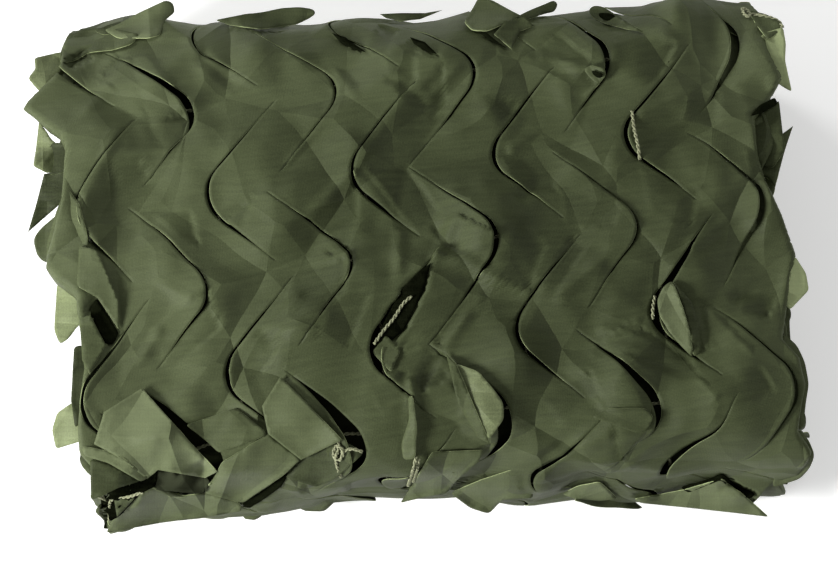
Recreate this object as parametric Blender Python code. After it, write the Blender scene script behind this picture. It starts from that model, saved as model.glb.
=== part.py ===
"""Camouflage netting, folded to a strip, rolled flat and lying on its broad side.

The coated cloth is die-cut with rows of rounded chevron slits and sewn over a net of thin
twine.  The roll's axis is X, its turns run round the YZ section, and it rests on z = 0.
A place on a turn is (x, run), where `run` is the distance travelled along the wound section
from the free end.  A place in the slit pattern is (p, q), along its columns and its rows.
"""

import math
import random

import bpy
import mathutils
import numpy as np

# ---- driving dimensions (metres) -------------------------------------------------------
DEPTH = 0.226  # roll, front to back
HEIGHT = 0.100  # roll, surface to crown
LEFT_END, RIGHT_END = -0.161, 0.159  # folded edges of the strip, without the lobes
TOP_RADIUS, FOOT_RADIUS, CORE_RADIUS = 0.034, 0.022, 0.0035

END_SKEW = -0.046  # x gained per metre of y: the ends lean
SWELL = 0.11  # depth gained per metre of -x: the left end is fuller
CROWN = 0.07  # share of height lost at the front and back edges
END_SAG = 0.04  # share of height lost at the two ends

SHEET = 0.0020  # the packed plies of one turn
OUTER_GAP = 0.0038  # room for the twine under the outer turn
INNER_GAP = 0.0026
TURNS = 10
FREE_END_Y = 0.045  # the free end lies on the underside here
CLIMB_Y = 0.085  # each turn starts here to climb over the one outside it
CORE_END_Y = -0.058  # the inner end lies flat in the core and stops here

PITCH = 0.0650  # slit columns
PERIOD = 0.0853  # slit rows
PATTERN_X = -0.1722  # column 0 at row 0
PATTERN_S = -0.0928  # row 0 at column 0: its distance past the middle of the top
COLUMN_LEAN = 0.0375  # x gained per metre of q
ROW_RISE = -0.1180  # distance toward the front gained per metre of p
SHARP_REACH = PERIOD / 4  # from a zigzag's middle to its sharp corners
ROUND_REACH = 0.0150  # and to the rounded tips of its tongues
STEPS = 8  # rows of points in one period
FIRST_STEP, LAST_STEP = -11, 33  # the slit cloth, from the back of the underside to the front
ZIGZAGS = range(1, 10)
TIP_ROWS = range(-2, 5)
SLITS_FROM, SLITS_TO = 0.165, 0.545  # no slit is opened under the roll

TWINE = 0.0020
TWINE_SHIFT = 0.0065  # lengthwise twines run beside the slit columns
CROSS_SHIFT = 0.0390  # crosswise twines run behind the right-hand tips
TWINE_COLUMNS, TWINE_ROWS = range(1, 5), range(-1, 4)
TWINE_LEFT, TWINE_RIGHT = 0.024, 0.308  # p of the crosswise twines' ends

# Tongues that stand well off the roll.  Zigzags are counted from the left: odd ones have
# their rounded tips on the right, even ones on the left.
TONGUES = [
    # zigzag, tip row, lift, drawn back
    (1, 0, 0.0030, 0.0020),
    (1, 2, 0.0070, 0.0125),
    (2, 0, 0.0050, 0.0020),
    (2, 3, 0.0050, 0.0020),
    (3, 2, 0.0035, 0.0040),
    (4, 0, 0.0060, 0.0020),
    (4, 2, 0.0040, 0.0060),
    (5, 1, 0.0030, 0.0030),
    (5, 2, 0.0060, 0.0050),
    (6, 0, 0.0055, 0.0030),
    (7, 0, 0.0045, 0.0040),
    (7, 2, 0.0045, 0.0050),
    (8, 1, 0.0040, 0.0040),
    (8, 2, 0.0045, 0.0060),
    (8, 3, 0.0060, 0.0040),
    (9, 0, 0.0060, 0.0045),
    (9, 1, 0.0055, 0.0045),
]
PLAIN_LIFT, PLAIN_DRAW = 0.0016, 0.0009

# How far a tongue follows its tip, at each step from the slit's sharp corner to its end.
TONGUE_PROFILE = [0.0, 0.30, 0.60, 0.90, 1.0, 0.55, 0.0]
TIP_STEP = 4
FAR_SIDE_DRAW = 0.0003

# Lobes of the plies that reach out past the strip's folded edges.
LOBES = [
    # end, q, half width, reach, lift
    (-1, -0.036, 0.026, 0.013, 0.004),
    (-1, 0.012, 0.022, 0.006, 0.000),
    (-1, 0.062, 0.020, 0.015, 0.001),
    (-1, 0.118, 0.020, 0.007, 0.002),
    (-1, 0.170, 0.024, 0.012, 0.001),
    (-1, 0.225, 0.022, 0.008, 0.000),
    (-1, 0.268, 0.018, 0.010, 0.002),
    (1, -0.030, 0.022, 0.008, 0.003),
    (1, 0.010, 0.020, 0.013, 0.002),
    (1, 0.052, 0.018, 0.006, 0.000),
    (1, 0.110, 0.024, 0.012, 0.001),
    (1, 0.160, 0.022, 0.016, 0.001),
    (1, 0.215, 0.024, 0.015, 0.002),
    (1, 0.265, 0.020, 0.011, 0.001),
]
INNER_LOBE = 0.007  # how unevenly the inner turns end
INNER_COLUMNS = (-0.055, 0.055)
LOBE_SEED = 5

CLOTH_COLOUR = (0.075, 0.090, 0.045, 1.0)
TWINE_COLOUR = (0.30, 0.31, 0.19, 1.0)

TRACE = 0.0008  # spacing of the points that trace the wound section's corners
CORNER_ROWS = 4  # rows of points round a corner of an inner turn
FLAT_ROWS = (-0.040, 0.0, 0.040)  # and across its top


# ---- the wound section -----------------------------------------------------------------


def corner(centre_y, centre_z, radius, start, end):
    """Points of a corner's arc; angles in degrees from +Y toward +Z."""
    cells = CORNER_ROWS - 1
    count = cells * max(1, round(abs(math.radians(end - start)) * radius / TRACE / cells)) + 1
    turn = np.radians(np.linspace(start, end, count))
    return np.column_stack([centre_y + radius * np.cos(turn), centre_z + radius * np.sin(turn)])


def one_turn(inset, next_inset):
    """A turn's points from the free end's place: to the front, up, over, down and under."""
    half, foot, top = DEPTH / 2 - inset, inset, HEIGHT - inset
    high = max(TOP_RADIUS - inset, CORE_RADIUS)
    low = max(FOOT_RADIUS - inset, CORE_RADIUS)
    climb = min(CLIMB_Y, half - low - TRACE)
    pieces = [
        np.array([[FREE_END_Y, foot], [-FREE_END_Y, foot]]),
        corner(-half + low, foot + low, low, 270, 180),
        corner(-half + high, top - high, high, 180, 90),
        np.array([[y, top] for y in FLAT_ROWS]),
        corner(half - high, top - high, high, 90, 0),
        corner(half - low, foot + low, low, 0, -90),
        np.array([[climb, foot], [FREE_END_Y, next_inset]]),
    ]
    rows, start = [], 0
    for piece in pieces:
        shown = CORNER_ROWS if len(piece) > len(FLAT_ROWS) else len(piece)
        rows += [start + round(i * (len(piece) - 1) / (shown - 1)) for i in range(shown)]
        start += len(piece)
    return np.vstack(pieces), rows


def wound_section():
    """The whole path, the distance travelled at each point, and the rows of each turn."""
    insets = [0.0] + [SHEET + OUTER_GAP + i * (SHEET + INNER_GAP) for i in range(TURNS)]
    points, rows, start = [], [], 0
    for turn in range(TURNS):
        turn_points, turn_rows = one_turn(insets[turn], insets[turn + 1])
        points.append(turn_points[:-1])
        rows.append([start + row for row in turn_rows[:-1]])
        start += len(turn_points) - 1
    core = (HEIGHT - SHEET) / 2
    points.append(np.array([[FREE_END_Y - TRACE, core], [0.0, core], [CORE_END_Y, core]]))
    rows.append([start, start + 1, start + 2])
    path = np.vstack(points)
    run = np.concatenate([[0.0], np.cumsum(np.linalg.norm(np.diff(path, axis=0), axis=1))])
    return path, run, [[run[i] for i in turn_rows] for turn_rows in rows]


PATH, RUN, TURN_ROWS = wound_section()
MID_TOP = TURN_ROWS[0][2 + 2 * CORNER_ROWS + 1]


def on_section(run, outward):
    """The y and z of a place on the path, moved outward from the roll."""
    y, z = (np.interp(run, RUN, PATH[:, axis]) for axis in (0, 1))
    ends = [run - TRACE, run + TRACE]
    along_y, along_z = (np.diff(np.interp(ends, RUN, PATH[:, axis]))[0] for axis in (0, 1))
    length = math.hypot(along_y, along_z)
    return y - outward * along_z / length, z + outward * along_y / length


def placed(x, run, outward):
    """World coordinates of a place on the roll, with the lie of the whole bundle."""
    y, z = on_section(run, outward)
    across, along = 2 * y / DEPTH, x / RIGHT_END
    height = z * (1 - CROWN * across**2) * (1 - END_SAG * along**2)
    return x + END_SKEW * y, y * (1 - SWELL * x), height


# ---- the slit pattern ------------------------------------------------------------------


def q_of(step):
    return step * PERIOD / STEPS


def pattern_x(p, q):
    return PATTERN_X + p + COLUMN_LEAN * q


def pattern_run(p, q):
    return MID_TOP - (PATTERN_S + q + ROW_RISE * p)


def zigzag_p(zigzag, step):
    """Where a zigzag passes a row: its tongues' tips are round and its other corners sharp."""
    phase = (step % STEPS) / STEPS
    swing = (1 - 4 * abs(phase - 0.5)) * SHARP_REACH
    swing = max(swing, -ROUND_REACH) if zigzag % 2 == 0 else min(swing, ROUND_REACH)
    return zigzag * PITCH / 2 + PITCH / 4 + swing


def slit_steps(zigzag, tip_row):
    """The rows from a slit's sharp corner, along one arm, round the tip and up the other."""
    tip = tip_row * STEPS + (STEPS // 2) * (zigzag % 2)
    return range(tip - TIP_STEP, tip - TIP_STEP + len(TONGUE_PROFILE))


def open_slits():
    """For each zigzag and row of points inside a slit: how its tongue lifts and draws back."""
    stated = {(zigzag, tip_row): (lift, draw) for zigzag, tip_row, lift, draw in TONGUES}
    slits = {}
    for zigzag in ZIGZAGS:
        for tip_row in TIP_ROWS:
            steps = slit_steps(zigzag, tip_row)
            runs = [pattern_run(zigzag_p(zigzag, step), q_of(step)) for step in steps]
            if min(runs) < SLITS_FROM or max(runs) > SLITS_TO:
                continue
            lift, draw = stated.get((zigzag, tip_row), (PLAIN_LIFT, PLAIN_DRAW))
            for step, share in list(zip(steps, TONGUE_PROFILE))[1:-1]:
                slits[zigzag, step] = (lift * share, draw * share)
    return slits


SLITS = open_slits()


def lobe(end, q):
    """How far the cloth reaches past its folded edge, and how far it lifts there."""
    reach = lift = 0.0
    for lobe_end, centre, half_width, lobe_reach, lobe_lift in LOBES:
        share = max(0.0, 1 - ((q - centre) / half_width) ** 2) if lobe_end == end else 0.0
        reach += share * lobe_reach
        lift += share * lobe_lift
    return reach, lift


# ---- closed sheets ---------------------------------------------------------------------


def closed_sheet(name, faces, place, material):
    """A solid from faces of corner keys: an outer face, an inner face, and walls at each edge."""
    keys = sorted({key for face in faces for key in face})
    number = {key: i for i, key in enumerate(keys)}
    points = [place(key, 0) for key in keys] + [place(key, 1) for key in keys]
    under = len(keys)
    outer = [[number[key] for key in face] for face in faces]
    edges = {(face[i - 1], face[i]) for face in outer for i in range(len(face))}
    walls = [[b, a, a + under, b + under] for a, b in sorted(edges) if (b, a) not in edges]
    inner = [[corner_number + under for corner_number in reversed(face)] for face in outer]
    mesh = bpy.data.meshes.new(name)
    mesh.from_pydata(points, [], outer + inner + walls)
    mesh.materials.append(material)
    mesh.shade_smooth()
    mesh.set_sharp_from_angle(angle=math.radians(40))
    sheet = bpy.data.objects.new(name, mesh)
    bpy.context.collection.objects.link(sheet)
    return sheet


def fabric(name, colour, roughness):
    material = bpy.data.materials.new(name)
    material.use_nodes = True
    shader = material.node_tree.nodes["Principled BSDF"]
    shader.inputs["Base Color"].default_value = colour
    shader.inputs["Roughness"].default_value = roughness
    shader.inputs["Metallic"].default_value = 0.0
    return material


# ---- the cloth -------------------------------------------------------------------------

# Columns of the slit cloth: its two ends, its zigzags, and one column between each two.
LEFT_COLUMN, RIGHT_COLUMN = 0, 2 * len(ZIGZAGS) + 2


def slit_corner(step, column, side):
    """A key of the slit cloth; inside a slit its two sides are different corners."""
    zigzag = column // 2
    is_zigzag = column % 2 == 0 and LEFT_COLUMN < column < RIGHT_COLUMN
    return ("slit", step, column, side if is_zigzag and (zigzag, step) in SLITS else 0)


def slit_cell(step, column):
    return (
        slit_corner(step, column, 1),
        slit_corner(step, column + 1, -1),
        slit_corner(step + 1, column + 1, -1),
        slit_corner(step + 1, column, 1),
    )


def tongue_of(zigzag, step, side):
    """The lift and the draw in +p of a zigzag's edge, on its left (-1) or right (1) side."""
    if (zigzag, step) not in SLITS:
        return 0.0, 0.0
    tongue_side = 1 if zigzag % 2 == 0 else -1
    lift, draw = SLITS[zigzag, step]
    if side == tongue_side:
        return lift, side * draw
    return 0.0, side * FAR_SIDE_DRAW


def slit_place(step, column, side):
    """The x, run and lift of a corner of the slit cloth."""
    q = q_of(step)
    if column in (LEFT_COLUMN, RIGHT_COLUMN):
        end = -1 if column == LEFT_COLUMN else 1
        reach, lift = lobe(end, q)
        x = LEFT_END - reach if end < 0 else RIGHT_END + reach
        return x, pattern_run(x - pattern_x(0, q), q), lift
    if column % 2 == 0:
        lift, draw = tongue_of(column // 2, step, side)
        p = zigzag_p(column // 2, step) + draw
        return pattern_x(p, q), pattern_run(p, q), lift
    left = slit_place(step, column - 1, 1)
    right = slit_place(step, column + 1, -1)
    return tuple((a + b) / 2 for a, b in zip(left, right))


def cloth_rows():
    """Rows of the plain parts of the roll: before the slit cloth, and after it."""
    first = pattern_run(0.0, q_of(LAST_STEP))
    last = pattern_run(RIGHT_END - pattern_x(0, 0.0), q_of(FIRST_STEP))
    rows = [run for turn in TURN_ROWS for run in turn]
    before = [run for run in rows if run < first - TRACE]
    after = [run for run in rows if run > last + TRACE]
    return before, after


def band(slit_row, plain_row, slit_first):
    """Triangles between a row of the slit cloth and a row of the plain roll."""
    faces, reached = [], 0
    cells = len(plain_row) - 1
    for cell in range(cells):
        target = round((cell + 1) * (len(slit_row) - 1) / cells)
        half = (reached + target) // 2
        for i in range(reached, target):
            tip = plain_row[cell] if i < half else plain_row[cell + 1]
            faces.append((slit_row[i], slit_row[i + 1], tip))
        faces.append((slit_row[half], plain_row[cell + 1], plain_row[cell]))
        reached = target
    return faces if slit_first else [tuple(reversed(face)) for face in faces]


def plain_corner(row, column):
    return ("plain", row, column, 0)


def make_cloth():
    """One solid: the slit outer turn, and the plain turns that it winds round."""
    before, after = cloth_rows()
    plain_runs = before + after
    chance = random.Random(LOBE_SEED)
    ends = [(chance.uniform(-1, 0.4), chance.uniform(-0.4, 1)) for _ in plain_runs]

    def place(key, under):
        kind, row, column, side = key
        if kind == "slit":
            x, run, lift = slit_place(row, column, side)
            return placed(x, run, lift - under * SHEET)
        left, right = ends[row]
        columns = [LEFT_END + INNER_LOBE * left, *INNER_COLUMNS, RIGHT_END + INNER_LOBE * right]
        return placed(columns[column], plain_runs[row], -under * SHEET)

    last_column = len(INNER_COLUMNS) + 1
    faces = []
    for row in range(len(plain_runs) - 1):
        if row != len(before) - 1:
            for column in range(last_column):
                faces.append((
                    plain_corner(row, column),
                    plain_corner(row, column + 1),
                    plain_corner(row + 1, column + 1),
                    plain_corner(row + 1, column),
                ))
    for step in range(FIRST_STEP, LAST_STEP):
        for column in range(LEFT_COLUMN, RIGHT_COLUMN):
            faces.append(tuple(reversed(slit_cell(step, column))))
    columns = range(LEFT_COLUMN, RIGHT_COLUMN + 1)
    plain_columns = range(last_column + 1)
    front_row = [slit_corner(LAST_STEP, column, 0) for column in columns]
    back_row = [slit_corner(FIRST_STEP, column, 0) for column in columns]
    tail_row = [plain_corner(len(before) - 1, column) for column in plain_columns]
    next_row = [plain_corner(len(before), column) for column in plain_columns]
    faces += band(front_row, tail_row, False)
    faces += band(back_row, next_row, True)
    material = fabric("coated_cloth", CLOTH_COLOUR, 0.55)
    return closed_sheet("camouflage_cloth", faces, place, material)


# ---- the net ---------------------------------------------------------------------------


def make_net():
    """Lengthwise and crosswise twines, fused where they are knotted."""
    columns, twine_columns = [TWINE_LEFT], []
    for column in TWINE_COLUMNS:
        centre = column * PITCH + TWINE_SHIFT
        twine_columns.append(len(columns))
        columns += [centre - TWINE / 2, centre + TWINE / 2]
    columns.append(TWINE_RIGHT)
    rows, twine_rows = [], []
    for row in TWINE_ROWS:
        centre = row * PERIOD + CROSS_SHIFT
        twine_rows.append(len(rows))
        rows += [centre - TWINE / 2, centre + TWINE / 2]
        if row != TWINE_ROWS[-1]:
            rows += [centre + step * PERIOD / STEPS for step in range(1, STEPS)]
    middle = -(SHEET + OUTER_GAP / 2)

    def place(key, under):
        row, column = key
        p, q = columns[column], rows[row]
        outward = middle + TWINE / 2 - under * TWINE
        return placed(pattern_x(p, q), pattern_run(p, q), outward)

    faces = []
    for row in range(len(rows) - 1):
        for column in range(len(columns) - 1):
            if row in twine_rows or column in twine_columns:
                faces.append((
                    (row, column),
                    (row + 1, column),
                    (row + 1, column + 1),
                    (row, column + 1),
                ))
    material = fabric("twine", TWINE_COLOUR, 0.8)
    return closed_sheet("backing_net", faces, place, material)


def centre_on_origin(sheets):
    """Moves the solids so that their common box stands centred over the origin."""
    points = [vertex.co for sheet in sheets for vertex in sheet.data.vertices]
    low = [min(point[axis] for point in points) for axis in (0, 1)]
    high = [max(point[axis] for point in points) for axis in (0, 1)]
    shift = mathutils.Vector((-(low[0] + high[0]) / 2, -(low[1] + high[1]) / 2, 0.0))
    for sheet in sheets:
        sheet.data.transform(mathutils.Matrix.Translation(shift))


def main():
    for old in list(bpy.data.objects):
        bpy.data.objects.remove(old, do_unlink=True)
    centre_on_origin([make_cloth(), make_net()])


main()
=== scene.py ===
"""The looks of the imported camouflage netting: slit coated cloth over a twine net, rolled flat."""

import math
import random

import bpy
import numpy as np
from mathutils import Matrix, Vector
from mathutils.geometry import delaunay_2d_cdt
from mathutils.kdtree import KDTree


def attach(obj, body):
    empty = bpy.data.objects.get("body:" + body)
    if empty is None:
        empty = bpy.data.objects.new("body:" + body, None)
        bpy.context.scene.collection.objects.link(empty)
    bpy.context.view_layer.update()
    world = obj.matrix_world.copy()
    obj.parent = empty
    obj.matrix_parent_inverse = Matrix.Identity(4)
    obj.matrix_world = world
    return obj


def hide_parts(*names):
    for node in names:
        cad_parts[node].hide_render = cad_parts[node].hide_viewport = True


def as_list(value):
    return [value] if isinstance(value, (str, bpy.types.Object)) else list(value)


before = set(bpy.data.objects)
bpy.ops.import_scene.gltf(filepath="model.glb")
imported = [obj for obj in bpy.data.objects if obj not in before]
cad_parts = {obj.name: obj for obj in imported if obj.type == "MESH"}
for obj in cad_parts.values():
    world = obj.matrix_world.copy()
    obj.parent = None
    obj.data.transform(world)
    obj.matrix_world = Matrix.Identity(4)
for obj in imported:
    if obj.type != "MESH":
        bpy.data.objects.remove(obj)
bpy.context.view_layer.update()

# ---- sizes shared with the solids (metres) ---------------------------------------------
DEPTH, HEIGHT = 0.226, 0.100
LEFT_FOLD, RIGHT_FOLD = -0.164, 0.163
TOP_RADIUS, FOOT_RADIUS, CORE_RADIUS = 0.034, 0.022, 0.0035
END_SKEW, SWELL, CROWN, END_SAG = -0.046, 0.11, 0.07, 0.04
SAG_REACH = 0.159
OUTER_TURN, INNER_TURN = 0.0058, 0.0046  # from one turn to the next
TURNS = 10
FREE_END_Y, CLIMB_Y = 0.045, 0.085
TRACE, NORMAL_STEP = 0.0004, 0.0015  # along the section's corners, and to find its normals

PITCH, PERIOD = 0.0650, 0.0853  # slit columns and rows
PATTERN_X, PATTERN_S = -0.1722, -0.0928
COLUMN_LEAN, ROW_RISE = 0.0375, -0.1180
SHARP_REACH, TIP_RADIUS = PERIOD / 4, 0.0155
SLIT_SHARE = 0.80  # of the second arm that is cut; the rest is the bridge

TWINE_SHIFT, CROSS_SHIFT = 0.0065, 0.0390
TWINE_COLUMNS, TWINE_ROWS = range(1, 5), range(-1, 4)
TWINE_LEFT, TWINE_RIGHT = 0.024, 0.308
NET_OUTWARD = -0.0039

# ---- camera ----------------------------------------------------------------------------
VIEW_PIXELS = (838, 569)
PIXEL = 0.00046
AZIMUTH, ELEVATION, DISTANCE = -2.0, 70.0, 3.0
AIM = np.array([-0.0081, 0.0057, 0.0])
SENSOR = 36.0


def view_axes():
    """The camera's right, up and backward directions."""
    a, e = math.radians(AZIMUTH), math.radians(ELEVATION)
    right = np.array([math.cos(a), math.sin(a), 0.0])
    up = np.array([-math.sin(a) * math.sin(e), math.cos(a) * math.sin(e), math.cos(e)])
    return right, up, np.cross(right, up)


RIGHT, UP, BACK = view_axes()
EYE = AIM + BACK * DISTANCE


def add_object(name, data, location=(0, 0, 0), facing=None):
    """An object in the scene; a camera or light looks along facing."""
    thing = bpy.data.objects.new(name, data)
    bpy.context.collection.objects.link(thing)
    thing.location = location
    if facing is not None:
        thing.rotation_mode = "QUATERNION"
        thing.rotation_quaternion = Vector(facing).to_track_quat("-Z", "Y")
    return thing


def make_camera():
    data = bpy.data.cameras.new("camera")
    data.sensor_width = SENSOR
    data.lens = SENSOR * DISTANCE / (VIEW_PIXELS[0] * PIXEL)
    bpy.context.scene.camera = add_object("camera", data, EYE, -BACK)


def in_view(points):
    """Where points show in the picture, in its pixels."""
    offset = points - AIM
    scale = DISTANCE / (DISTANCE - offset @ BACK) / PIXEL
    u = VIEW_PIXELS[0] / 2 + offset @ RIGHT * scale
    v = VIEW_PIXELS[1] / 2 - offset @ UP * scale
    return u, v


def sight(u, v):
    """The way from the eye through a pixel, as far as the plane of AIM."""
    return AIM + (RIGHT * (u - VIEW_PIXELS[0] / 2) - UP * (v - VIEW_PIXELS[1] / 2)) * PIXEL - EYE


def from_view(u, v, height):
    """The point that shows at a pixel of the picture, at a height above the floor."""
    way = sight(u, v)
    return EYE + way * (height - EYE[2]) / way[2]


# ---- the wound section -----------------------------------------------------------------


def corner(centre_y, centre_z, radius, start, end):
    count = max(4, round(abs(math.radians(end - start)) * radius / TRACE))
    turn = np.radians(np.linspace(start, end, count))
    return np.column_stack([centre_y + radius * np.cos(turn), centre_z + radius * np.sin(turn)])


def one_turn(inset):
    """A turn from the free end's place: to the front, up, over, down and back under."""
    half, foot, top = DEPTH / 2 - inset, inset, HEIGHT - inset
    high = max(TOP_RADIUS - inset, CORE_RADIUS)
    low = max(FOOT_RADIUS - inset, CORE_RADIUS)
    return np.vstack([
        [[FREE_END_Y, foot]],
        corner(-half + low, foot + low, low, 270, 180),
        corner(-half + high, top - high, high, 180, 90),
        corner(half - high, top - high, high, 90, 0),
        corner(half - low, foot + low, low, 0, -90),
        [[min(CLIMB_Y, half - low - TRACE), foot]],
    ])


def wound_section():
    """The path of all turns, the distance travelled along it, and where each turn starts."""
    insets = [0.0] + [OUTER_TURN + i * INNER_TURN for i in range(TURNS - 1)]
    turns = [one_turn(inset) for inset in insets]
    path = np.vstack(turns)
    run = np.concatenate([[0.0], np.cumsum(np.linalg.norm(np.diff(path, axis=0), axis=1))])
    starts = np.cumsum([0] + [len(turn) for turn in turns[:-1]])
    return path, run, run[starts]


PATH, RUN, TURN_RUNS = wound_section()
TOP_ROW = np.argmax((PATH[1:, 0] >= 0) & (PATH[:-1, 0] < 0) & (PATH[1:, 1] > HEIGHT / 2))
MID_TOP = RUN[TOP_ROW] - PATH[TOP_ROW, 0]


def on_section(run, outward):
    """The y and z of places on the path, moved outward from the roll."""
    (y, ahead_y, behind_y), (z, ahead_z, behind_z) = (
        [np.interp(run + off, RUN, PATH[:, axis]) for off in (0, NORMAL_STEP, -NORMAL_STEP)]
        for axis in (0, 1)
    )
    along_y, along_z = ahead_y - behind_y, ahead_z - behind_z
    length = np.hypot(along_y, along_z)
    return y - outward * along_z / length, z + outward * along_y / length


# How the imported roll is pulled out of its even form: places in the picture, and the pull
# there to the right and down (pixels).
PULLS = (
    # u, v, right, down
    (66, 14, 16, 24), (130, 10, 0, 22), (187, 12, 12, 26), (250, 12, 4, 14), (330, 12, 0, 14),
    (410, 12, 0, 12), (460, 4, 0, 22), (106, 14, 0, 18), (117, 45, 4, 8), (187, 107, 5, 8),
    (137, 183, 20, -8), (205, 192, 2, 0), (270, 100, 2, 3), (66, 222, 22, 6), (120, 210, 0, 0),
    (210, 283, -3, 3), (267, 187, 3, 9), (353, 267, -3, 0), (332, 83, 4, 2), (348, 160, 3, 5),
    (475, 67, -2, 4), (560, 10, -8, 14), (618, 47, -14, 18), (640, 2, -8, -2), (690, 2, -12, -8),
    (492, 147, 0, 6), (640, 120, -16, 8), (680, 60, -10, 6), (760, 33, -32, 20), (735, 4, -18, -4),
    (645, 220, -8, 5), (553, 147, 0, 5), (780, 230, -34, 0), (500, 240, -2, -2),
    (727, 213, -15, 2), (662, 300, -14, 6), (520, 430, -15, -15), (518, 330, 0, 0),
    (580, 327, 0, 5), (667, 397, -9, 4), (790, 393, -26, 0), (683, 500, -36, -24),
    (722, 303, -9, 4), (790, 330, -14, 0), (85, 387, 0, 8), (142, 395, 5, -7),
    (230, 483, -12, -24), (200, 502, -6, -16), (227, 370, 2, -2), (297, 447, 0, -6),
    (287, 370, -2, 2), (378, 457, -14, -4), (367, 480, -14, -10), (372, 347, 0, 0),
    (105, 535, 0, -4), (170, 535, -4, -12), (250, 530, -5, -26), (325, 530, -4, -24),
    (385, 525, -4, -42), (440, 525, -4, -22), (500, 520, -4, -25), (530, 518, 0, -27),
    (560, 520, -4, -17), (640, 515, -6, -12), (700, 515, -8, -12), (765, 513, -16, -10),
    (820, 480, -12, -4), (810, 430, -8, 0),
)
PULL_REACH, PULL_REST = 34.0, 0.25


def pulled(points):
    """The roll's own unevenness, which moves what lies on it sideways."""
    flat = points.reshape(-1, 3)
    u, v = in_view(flat)
    weights, moves = np.full(len(flat), PULL_REST), np.zeros((len(flat), 2))
    for at_u, at_v, right, down in PULLS:
        weight = np.exp(-((u - at_u) ** 2 + (v - at_v) ** 2) / (2 * PULL_REACH**2))
        weights += weight
        moves += weight[:, None] * np.array([right, -down / UP[1]]) * PIXEL
    flat = flat + np.column_stack([moves / weights[:, None], np.zeros(len(flat))])
    return flat.reshape(points.shape)


def placed(x, run, outward):
    """World points of places on the roll, with the lie of the whole bundle."""
    y, z = on_section(run, outward)
    height = z * (1 - CROWN * (2 * y / DEPTH) ** 2) * (1 - END_SAG * (x / SAG_REACH) ** 2)
    return pulled(np.stack([x + END_SKEW * y, y * (1 - SWELL * x), height], axis=-1))


# ---- the slit pattern ------------------------------------------------------------------
# p runs across its columns and q along them, in metres.


def pattern_x(p, q):
    return PATTERN_X + p + COLUMN_LEAN * q


def pattern_run(p, q):
    return MID_TOP - (PATTERN_S + q + ROW_RISE * p)


def on_pattern(p, q, outward):
    return placed(pattern_x(p, q), pattern_run(p, q), outward)


def tip_q(zigzag, row):
    return (row + 0.5 * (zigzag % 2)) * PERIOD


def zigzag_p(zigzag, q):
    """Where a zigzag passes q, with the tips of its tongues rounded."""
    phase = (q / PERIOD) % 1.0
    swing = (1 - 4 * np.abs(phase - 0.5)) * SHARP_REACH
    sign, off = (1, phase - 0.5) if zigzag % 2 else (-1, phase - np.round(phase))
    off = off * PERIOD
    centre = SHARP_REACH - TIP_RADIUS * math.sqrt(2)
    rounded = centre + np.sqrt(np.maximum(TIP_RADIUS**2 - off**2, 0))
    swing = np.where(np.abs(off) < TIP_RADIUS * math.sin(math.radians(45)), sign * rounded, swing)
    return zigzag * PITCH / 2 + PITCH / 4 + swing


# ---- helpers ---------------------------------------------------------------------------

FLOOR_GAP = 0.0006
CLOTH = 0.00040  # thickness
WAVE_TERMS, WAVE_SPREAD = 14, (0.7, 1.7)  # cosines in the smooth noise, and shares of its size
JITTER = 0.42  # of the spacing, between facets' points


def smooth(t):
    t = np.clip(t, 0, 1)
    return t * t * (3 - 2 * t)


def waves(a, b, size, seed):
    """Smooth noise about 1 high over a plane, with bumps about that size."""
    chance = random.Random(seed)
    total = 0.0
    for _ in range(WAVE_TERMS):
        turn = chance.uniform(0, math.tau)
        number = math.tau / (size * chance.uniform(*WAVE_SPREAD))
        shift = chance.uniform(0, math.tau)
        total = total + np.cos(number * (a * math.cos(turn) + b * math.sin(turn)) + shift)
    return total / math.sqrt(WAVE_TERMS / 2)


def ripple(run, height, size, seed):
    """Smooth noise about that high along a line."""
    return height * waves(run, 0 * run, size, seed)


class Facets:
    """Heights that are flat between creases: points joined by triangles."""

    def __init__(self, points, heights):
        made = delaunay_2d_cdt([Vector(point) for point in points], [], [], 0, 1e-9)
        self.points = np.array([tuple(point) for point in made[0]])
        self.triangles = [face for face in made[2] if len(face) == 3]
        self.heights = np.array([heights[origin[0]] if origin else 0.0 for origin in made[3]])

    def __call__(self, p, q):
        flat_p, flat_q = np.ravel(p), np.ravel(q)
        result = np.zeros(len(flat_p))
        for triangle in self.triangles:
            corners = self.points[triangle]
            (ax, ay), (bx, by), (cx, cy) = corners
            (low_x, low_y), (high_x, high_y) = corners.min(axis=0), corners.max(axis=0)
            area = (bx - ax) * (cy - ay) - (cx - ax) * (by - ay)
            across = (flat_p >= low_x) & (flat_p <= high_x)
            index = np.nonzero(across & (flat_q >= low_y) & (flat_q <= high_y))[0]
            if not len(index) or abs(area) < 1e-12:
                continue
            x, y = flat_p[index] - ax, flat_q[index] - ay
            wb = (x * (cy - ay) - (cx - ax) * y) / area
            wc = ((bx - ax) * y - x * (by - ay)) / area
            inside = (wb >= -1e-9) & (wc >= -1e-9) & (wb + wc <= 1 + 1e-9)
            a, b, c = self.heights[triangle]
            result[index[inside]] = (a * (1 - wb - wc) + b * wb + c * wc)[inside]
        return result.reshape(np.shape(p))


def random_facets(low, high, spacing, seed):
    chance = random.Random(seed)
    points, heights = [], []
    for i in range(int((high[0] - low[0]) / spacing) + 2):
        for j in range(int((high[1] - low[1]) / spacing) + 2):
            points.append((
                low[0] + (i + 0.5 * (j % 2) + chance.uniform(-JITTER, JITTER)) * spacing,
                low[1] + (j + chance.uniform(-JITTER, JITTER)) * spacing,
            ))
            heights.append(chance.uniform(-1, 1))
    return Facets(points, heights)


def picture_tree(u, v):
    """A search tree of pixels."""
    tree = KDTree(len(u))
    for index, place in enumerate(zip(u, v)):
        tree.insert((*place, 0), index)
    tree.balance()
    return tree


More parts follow.
